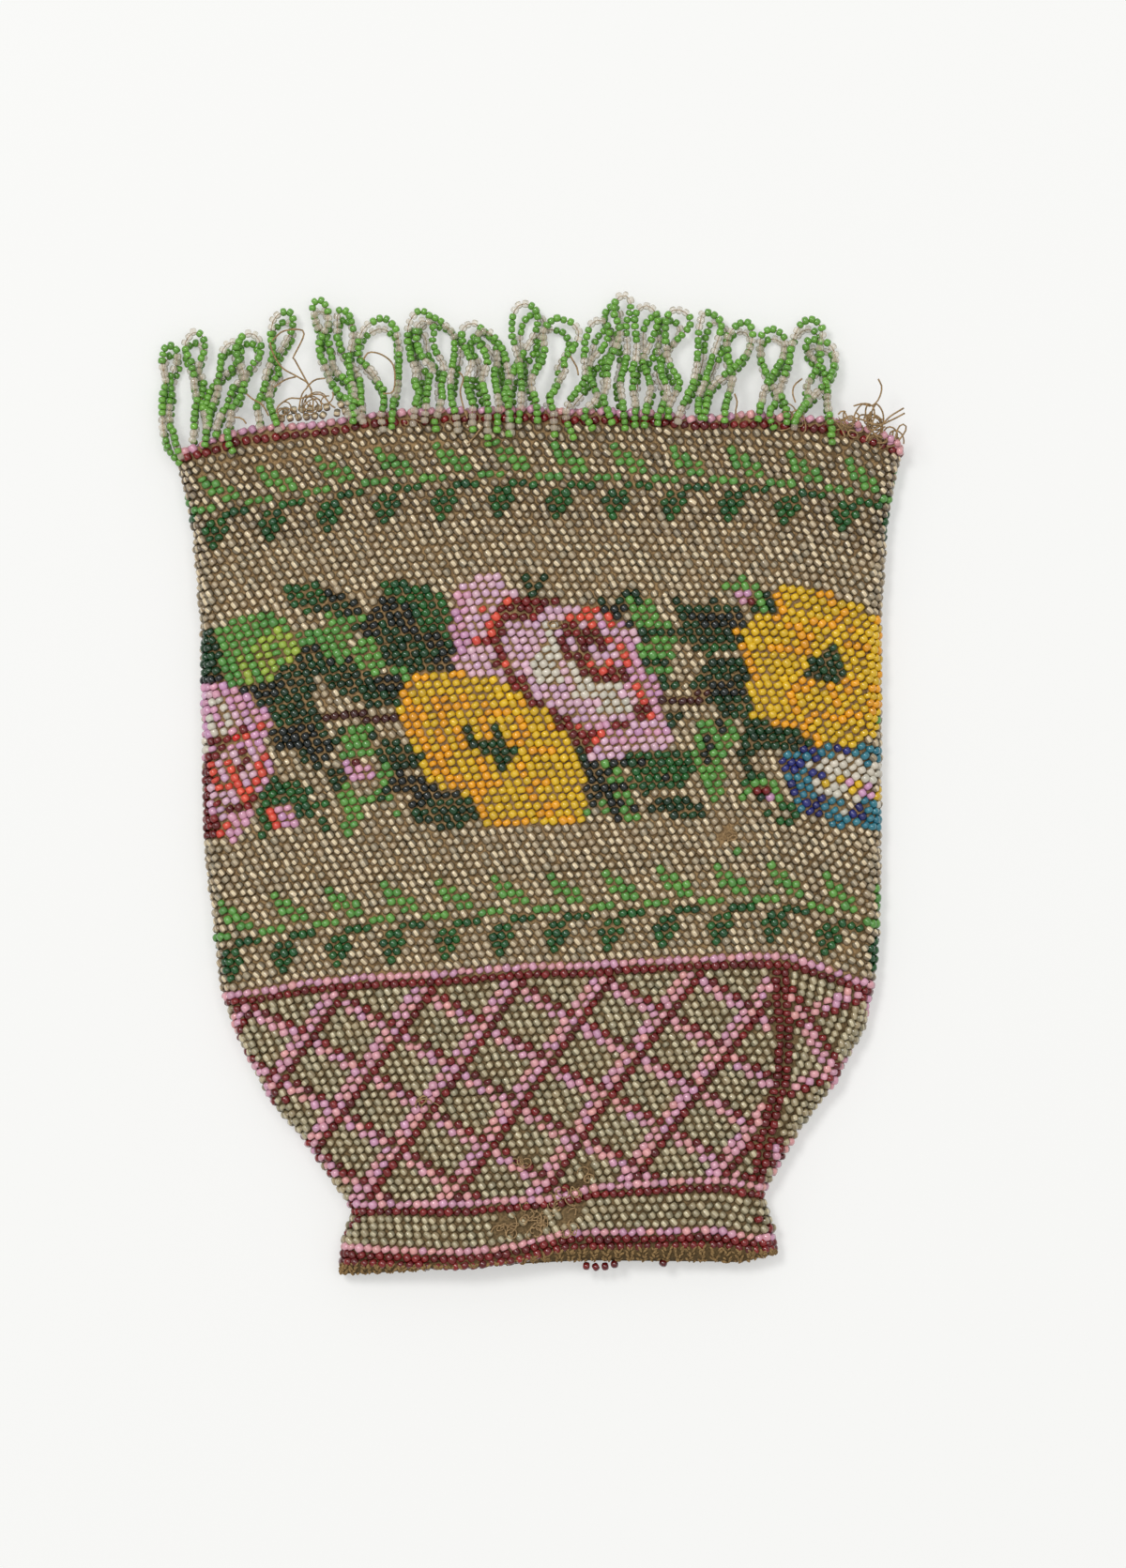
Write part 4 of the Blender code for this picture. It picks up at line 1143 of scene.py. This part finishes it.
def strand(side, index, clump, places, clear_middle):
    """One loop of beads along places: clear_middle says how far from its top a clear run lies."""
    node = f"{side}_loop_{index + 1:02d}"
    body = f"{side}_clump_{clump:02d}"
    number = len(places)
    holes = np.gradient(places, axis=0)
    holes = unit(holes + chance.normal(0, 0.06 * FRINGE_STEP, (number, 3)))
    top = int(places[:, 1].argmax())
    beat = (np.arange(number) - top - clear_middle + 1) % 8
    kind = np.where(beat < 3, NAMES.index("fringe_clear"), NAMES.index("fringe_green"))
    width = np.clip(chance.normal(1, 0.05, number), 0.85, 1.12) * FRINGE_BEAD / 2
    length = np.clip(chance.normal(0.93, 0.07, number), 0.75, 1.1) * FRINGE_STEP
    out = np.tile([0.0, 0.0, 1.0], (number, 1)) + chance.normal(0, 0.15, (number, 3))
    piece = copied(f"{node}_beads", FINE_BEAD, places + chance.normal(0, 0.07 * MM, (number, 3)), out, holes,
                   np.stack([width, width, length], axis=1), kind, fringe_glass)
    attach(piece, body)
    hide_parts(node)
    inner_threads.setdefault(body, []).append(places)


front_beads = np.flatnonzero(on_front)


def resting(flat, lift):
    """Places in the photo made into places just over the nearest bead of the face."""
    flat = np.asarray(flat, float)
    nearest = np.hypot(*(flat[:, None] - pixels[front_beads][None]).transpose(2, 0, 1)).argmin(axis=1)
    height = centres[front_beads[nearest], 2] + lift
    return np.column_stack([to_x(flat[:, 0]), to_y(flat[:, 1]), height])


FALL = 13 * MM  # past the edge, where a strand has come down to its level


def laid(stations, level, feet_levels, crossing):
    """A loop's stations made into places: on the knit at its feet, and down to its level past the edge."""
    flat = curved([(to_x(x), to_y(y)) for x, y in stations], FRINGE_STEP / 3)
    fallen = np.clip(past_the_mouth(flat[:, 0], flat[:, 1]) / FALL, 0, 1)
    settled = 0.75 * fallen + 0.25 * eased(fallen)
    share = np.linspace(0, 1, len(flat))
    feet = feet_levels[0] + (feet_levels[1] - feet_levels[0]) * share
    height = feet + (level - feet) * settled + crossing * np.sin(2 * math.pi * share) * settled
    return evenly(np.column_stack([flat, height]), FRINGE_STEP)


def thread_piece(name, routes, radius, body):
    """Thin round threads along routes, all in one piece."""
    curve = bpy.data.curves.new(name, "CURVE")
    curve.dimensions = "3D"
    curve.bevel_depth = radius
    curve.bevel_resolution = 1
    curve.use_fill_caps = True
    for route in routes:
        spline = curve.splines.new("POLY")
        spline.points.add(len(route) - 1)
        for point, place in zip(spline.points, route):
            point.co = (*place, 1)
    holder = placed(name + "_line", curve)
    bpy.context.view_layer.update()
    mesh = bpy.data.meshes.new_from_object(holder.evaluated_get(bpy.context.evaluated_depsgraph_get()))
    bpy.data.objects.remove(holder)
    mesh.name = name
    mesh.materials.clear()
    mesh.materials.append(pale_thread)
    mesh.shade_smooth()
    piece = placed(name, mesh)
    if body == "right":
        fixed(piece, body, 0, 1, None, None)
    else:
        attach(piece, body)


FOOT_LIFT = 1.5 * MM  # of a front loop's feet, over the nearest bead
INNER_RADIUS = 0.13 * MM  # of the thread inside a strand
BACK_FOOT = 2.6 * MM  # height of a back loop's feet
BACK_WIDTH = 0.95  # of a back loop, as a share of its front loop's
BACK_LENGTH = 0.93
LOOP_LENGTH = 110  # photo pixels of a common loop
print(len(FRONT_LOOPS), "front loops")
for index, (clump, middle, stations) in enumerate(FRONT_LOOPS):
    odd = index % 2
    feet = resting([stations[0], stations[-1]], FOOT_LIFT)[:, 2]
    strand("front", index, clump, laid(stations, (3.0 + 0.7 * odd) * MM, feet, 0.75 * MM), middle)
    foot_x, foot_y = (np.array(stations[0]) + stations[-1]) / 2
    lean = 1.5 if 8 <= index <= 18 else 0.15  # the loops lie over each other in the middle
    lower = []
    for x, y in stations:
        out = (foot_y - y) / LOOP_LENGTH
        lower.append((foot_x + (x - foot_x) * BACK_WIDTH + lean * 6 * out * (-1) ** index,
                      foot_y + 2 - (foot_y - y) * BACK_LENGTH))
    under = laid(lower, (1.05 + 0.3 * odd) * MM, (BACK_FOOT, BACK_FOOT), 0.1 * MM)
    under = under[past_the_mouth(under[:, 0], under[:, 1]) > -0.8 * MM]
    strand("back", index, clump, under, middle + 3)
for body, routes in inner_threads.items():
    thread_piece(f"{body}_thread", routes, INNER_RADIUS, body)

# %% [markdown]
# ## Loose threads
# Broken threads stand from the mouth where fringe is lost, most of them at its right corner.

# %%
LOOSE_RADIUS = 0.18 * MM
LOOSE_STEP = 0.8 * MM
CORNER_X = 889  # photo pixel where the right corner starts
FOOT_Y = 1268  # photo pixel under which the worn places are on the foot
LOOSE_THREADS = [
    [(295.1, 440.3), (296.8, 433.5), (308.7, 425), (320.5, 425), (334, 420.8), (344, 421.7), (352.6, 431.8),
        (357.7, 435.2)],
    [(313.7, 382.8), (323, 399.7), (331.5, 415), (332.3, 420)],
    [(287.5, 364.2), (290, 374.4), (300.2, 391.3), (317.1, 401.4), (328.9, 409.9), (322.2, 420),
        (318.8, 436.9)],
    [(290, 362.5), (300.2, 353.2), (313.7, 350.7), (323, 352.4), (322.2, 360.8), (312, 381.1),
        (313.7, 382.8)],
    [(291.8, 413.2), (303.6, 404.8), (315.4, 401.4)],
    [(327.2, 412.4), (335.7, 404.8), (346.7, 403.1)],
    [(387.2, 382.8), (393.2, 375.2), (406.7, 377.7), (418.5, 387.9), (421, 404.8), (418.5, 418.3),
        (408.4, 420)],
    [(334, 426), (334, 440)],
    [(250.3, 445.3), (258, 446.2), (263, 452.1)],
    [(263, 420), (269.8, 425.9), (279.9, 431.8), (286.7, 443.7)],
    [(936.1, 403.6), (939.8, 412.8), (936.1, 425.8), (927.8, 433.2), (918.6, 431.3), (911.2, 440.6),
        (908, 452)],
    [(963, 435), (948.2, 444.3), (938.9, 453.5), (927.8, 460.9), (922.3, 470.2)],
    [(963.9, 440.6), (950, 448), (935.2, 453.5), (918.6, 448), (905.6, 446.1), (889, 449.8)],
    [(957.4, 470), (964.8, 459), (963.9, 452.6), (957.4, 455.4), (953.7, 466.5)],
    [(892.7, 442.4), (898.2, 437.8), (901.9, 446.1), (896.4, 449.8), (892.7, 444.3), (899, 455)],
    [(909.3, 433.2), (920.4, 430.4), (929.7, 433.2), (931.5, 444.3), (927.8, 453.5)],
    [(782.6, 420.2), (785.4, 429.5), (783.6, 440.6), (789.1, 448)],
    [(854.8, 403.6), (846.4, 411), (844.6, 420.2), (847.4, 429.5)],
    [(488.9, 396.4), (494, 403.3), (490.6, 417.1), (494, 434.3), (498.3, 446.4)],
    [(498.3, 474), (506, 465.3), (514.7, 455)],
    [(607.7, 379.2), (614.6, 391.3), (616.3, 400)],
]


def curls(middle, reach, number, size, lift):
    """Small loose loops of thread about a place in the photo."""
    routes = []
    for _ in range(number):
        centre = np.array(middle) + chance.uniform(-1, 1, 2) * reach
        turns = chance.uniform(0, 6.3) + np.linspace(0, chance.uniform(2.5, 7.0), 14)
        wide, high = size * chance.uniform(0.4, 1.1, 2)
        oval = np.column_stack([wide * np.cos(turns), high * np.sin(turns)])
        tilt = chance.uniform(0, math.pi)
        spin = np.array([[math.cos(tilt), math.sin(tilt)], [-math.sin(tilt), math.cos(tilt)]])
        wander = np.linspace(-0.5, 0.5, 14)[:, None] * chance.normal(0, size, 2)
        routes.append(resting(centre + oval @ spin + wander, lift * chance.uniform(0.6, 1.5)))
    return routes


loose, right_corner, mouth_tufts, foot_curls = [], [], [], []
for stations in LOOSE_THREADS:
    flat = curved([(to_x(x), to_y(y)) for x, y in stations], LOOSE_STEP)
    rise = 11.3 * MM - 3.5 * MM * eased(past_the_mouth(flat[:, 0], flat[:, 1]) / (14 * MM))
    route = np.column_stack([flat, rise])
    (right_corner if route[0, 0] > to_x(CORNER_X) else loose).append(route)
thread_piece("loose_threads", loose, LOOSE_RADIUS, "front_of_pocket")
# each tuft's middle and reach in photo pixels, its number of curls, their size and their lift
for tuft in (((916, 450), (24, 7), 17, 10, 1.3 * MM), ((944, 464), (12, 8), 7, 8, 1.0 * MM),
             ((900, 458), (12, 5), 4, 7, 1.2 * MM)):
    right_corner += curls(*tuft)
thread_piece("right_corner_threads", right_corner, LOOSE_RADIUS, "right")
for tuft in (((338, 431), (14, 6), 6, 9, 1.0 * MM), ((302, 440), (10, 5), 2, 7, 1.0 * MM),
             ((850, 446), (14, 6), 7, 8, 1.2 * MM), ((470, 450), (40, 4), 5, 6, 1.2 * MM)):
    mouth_tufts += curls(*tuft)
for x, y, radius in WORN:
    if x <= CORNER_X and y < FOOT_Y:
        mouth_tufts += curls((x, y), (radius * 0.6, radius * 0.6), 2 + radius // 3, 6, 0.7 * MM)
thread_piece("face_threads", mouth_tufts, LOOSE_RADIUS * 0.8, "front_of_pocket")
for x, y, radius in WORN:
    if y >= FOOT_Y:
        foot_curls += curls((x, y), (radius * 0.7, radius * 0.6), 2 + radius // 2, 6, 0.6 * MM)
thread_piece("foot_threads", foot_curls, LOOSE_RADIUS * 0.8, "bag")


def strays(name, flat, kind, lift, material):
    """Single beads that lie apart from their rounds, with their holes across the page."""
    places = resting(flat, lift)
    number = len(places)
    out = np.tile([0.0, 0.0, 1.0], (number, 1))
    holes = np.tile([1.0, 0.3, 0.0], (number, 1)) + chance.normal(0, 0.5, (number, 3)) * (1, 1, 0.2)
    stray_sizes = np.tile([0.9 * MM, 0.9 * MM, 1.4 * MM], (number, 1))
    stray_kinds = np.full(number, NAMES.index(kind))
    return copied(name, FINE_BEAD, places, out, holes, stray_sizes, stray_kinds, material)


# two rows of clear beads stand over the edging where the fringe is thin
heading = []
for start, end in ((300, 346), (359, 382)):
    for x in np.arange(start, end, 8.8):
        heading += [(x, float(mouth_height(x)) - 4.5), (x + 4, float(mouth_height(x + 4)) - 12.5)]
piece = strays("heading_beads", heading, "clear", -0.2 * MM, knit_glass)
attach(piece, "front_of_pocket")
corner_strays = [(915, 452), (925, 457), (943, 463), (950, 467), (957, 471), (960, 480)]
piece = strays("corner_beads", corner_strays, "pink", 0.9 * MM, pink_glass)
fixed(piece, "right", 0, 1, None, None)
under_garnets = [(625, 1350.5), (635, 1351.5), (645, 1351), (655, 1348.5), (707, 1347.5)]
piece = strays("garnets_under_the_base", under_garnets, "garnet", 0.0, lattice_glass)
for vertex in piece.data.vertices:
    vertex.co.z += 1.1 * MM - centres[front_beads, 2].min()
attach(piece, "bag")
print("threads made")

# %% [markdown]
# ## Floor, light and camera

# %%
paper = Nodes("paper")
paper.set(Base_Color=(0.893, 0.893, 0.876, 1), Roughness=0.95, Specular_IOR_Level=0.1)
glow = paper.add("ShaderNodeEmission", {"Color": (0.946, 0.946, 0.931, 1), "Strength": 1.0})
ray = paper.tree.nodes.new("ShaderNodeLightPath").outputs
# seen by the camera, through glass or in it, the paper also glows a little
seen = paper.reckon("MAXIMUM", paper.reckon("MAXIMUM", ray["Is Camera Ray"], ray["Is Glossy Ray"]),
                    ray["Is Transmission Ray"])
lit = paper.shader.outputs[0]
both = paper.add("ShaderNodeMixShader", {0: paper.reckon("MULTIPLY", seen, 0.4), 1: lit, 2: glow})
paper.tree.links.new(both, paper.tree.nodes["Material Output"].inputs["Surface"])
plate = bmesh.new()
bmesh.ops.create_grid(plate, x_segments=1, y_segments=1, size=3)
floor = formed("floor", plate, paper.material)


def soft_light(name, place, size, power):
    """A square soft light that looks at the bag."""
    light = bpy.data.lights.new(name, "AREA")
    light.shape = "SQUARE"
    light.size = size
    light.energy = power
    lamp = placed(name, light)
    lamp.location = place
    lamp.rotation_euler = (-Vector(place)).to_track_quat("-Z", "Y").to_euler()


soft_light("key_light", (-1.5, 1.6, 3.8), 1.2, 82)
soft_light("fill_light", (0.9, 0.5, 4.1), 2.4, 37)

world = bpy.context.scene.world or bpy.data.worlds.new("room")
bpy.context.scene.world = world
world.use_nodes = True
sky = world.node_tree.nodes["Background"].inputs
sky["Color"].default_value = (1, 1, 1, 1)
sky["Strength"].default_value = 0.5

FACE_HEIGHT = 9 * MM
CAMERA_AWAY = 1.5  # from the face
VIEW_HEIGHT = 0.3342  # of the face, from the picture's top to its bottom
SENSOR = 36
camera_data = bpy.data.cameras.new("camera")
camera = placed("camera", camera_data)
camera.location = (5.0 * MM, 11.95 * MM, CAMERA_AWAY + FACE_HEIGHT)
camera_data.sensor_fit = "VERTICAL"
camera_data.sensor_height = SENSOR
camera_data.lens = SENSOR * CAMERA_AWAY / VIEW_HEIGHT
bpy.context.scene.camera = camera
bpy.context.scene.view_settings.view_transform = "Standard"
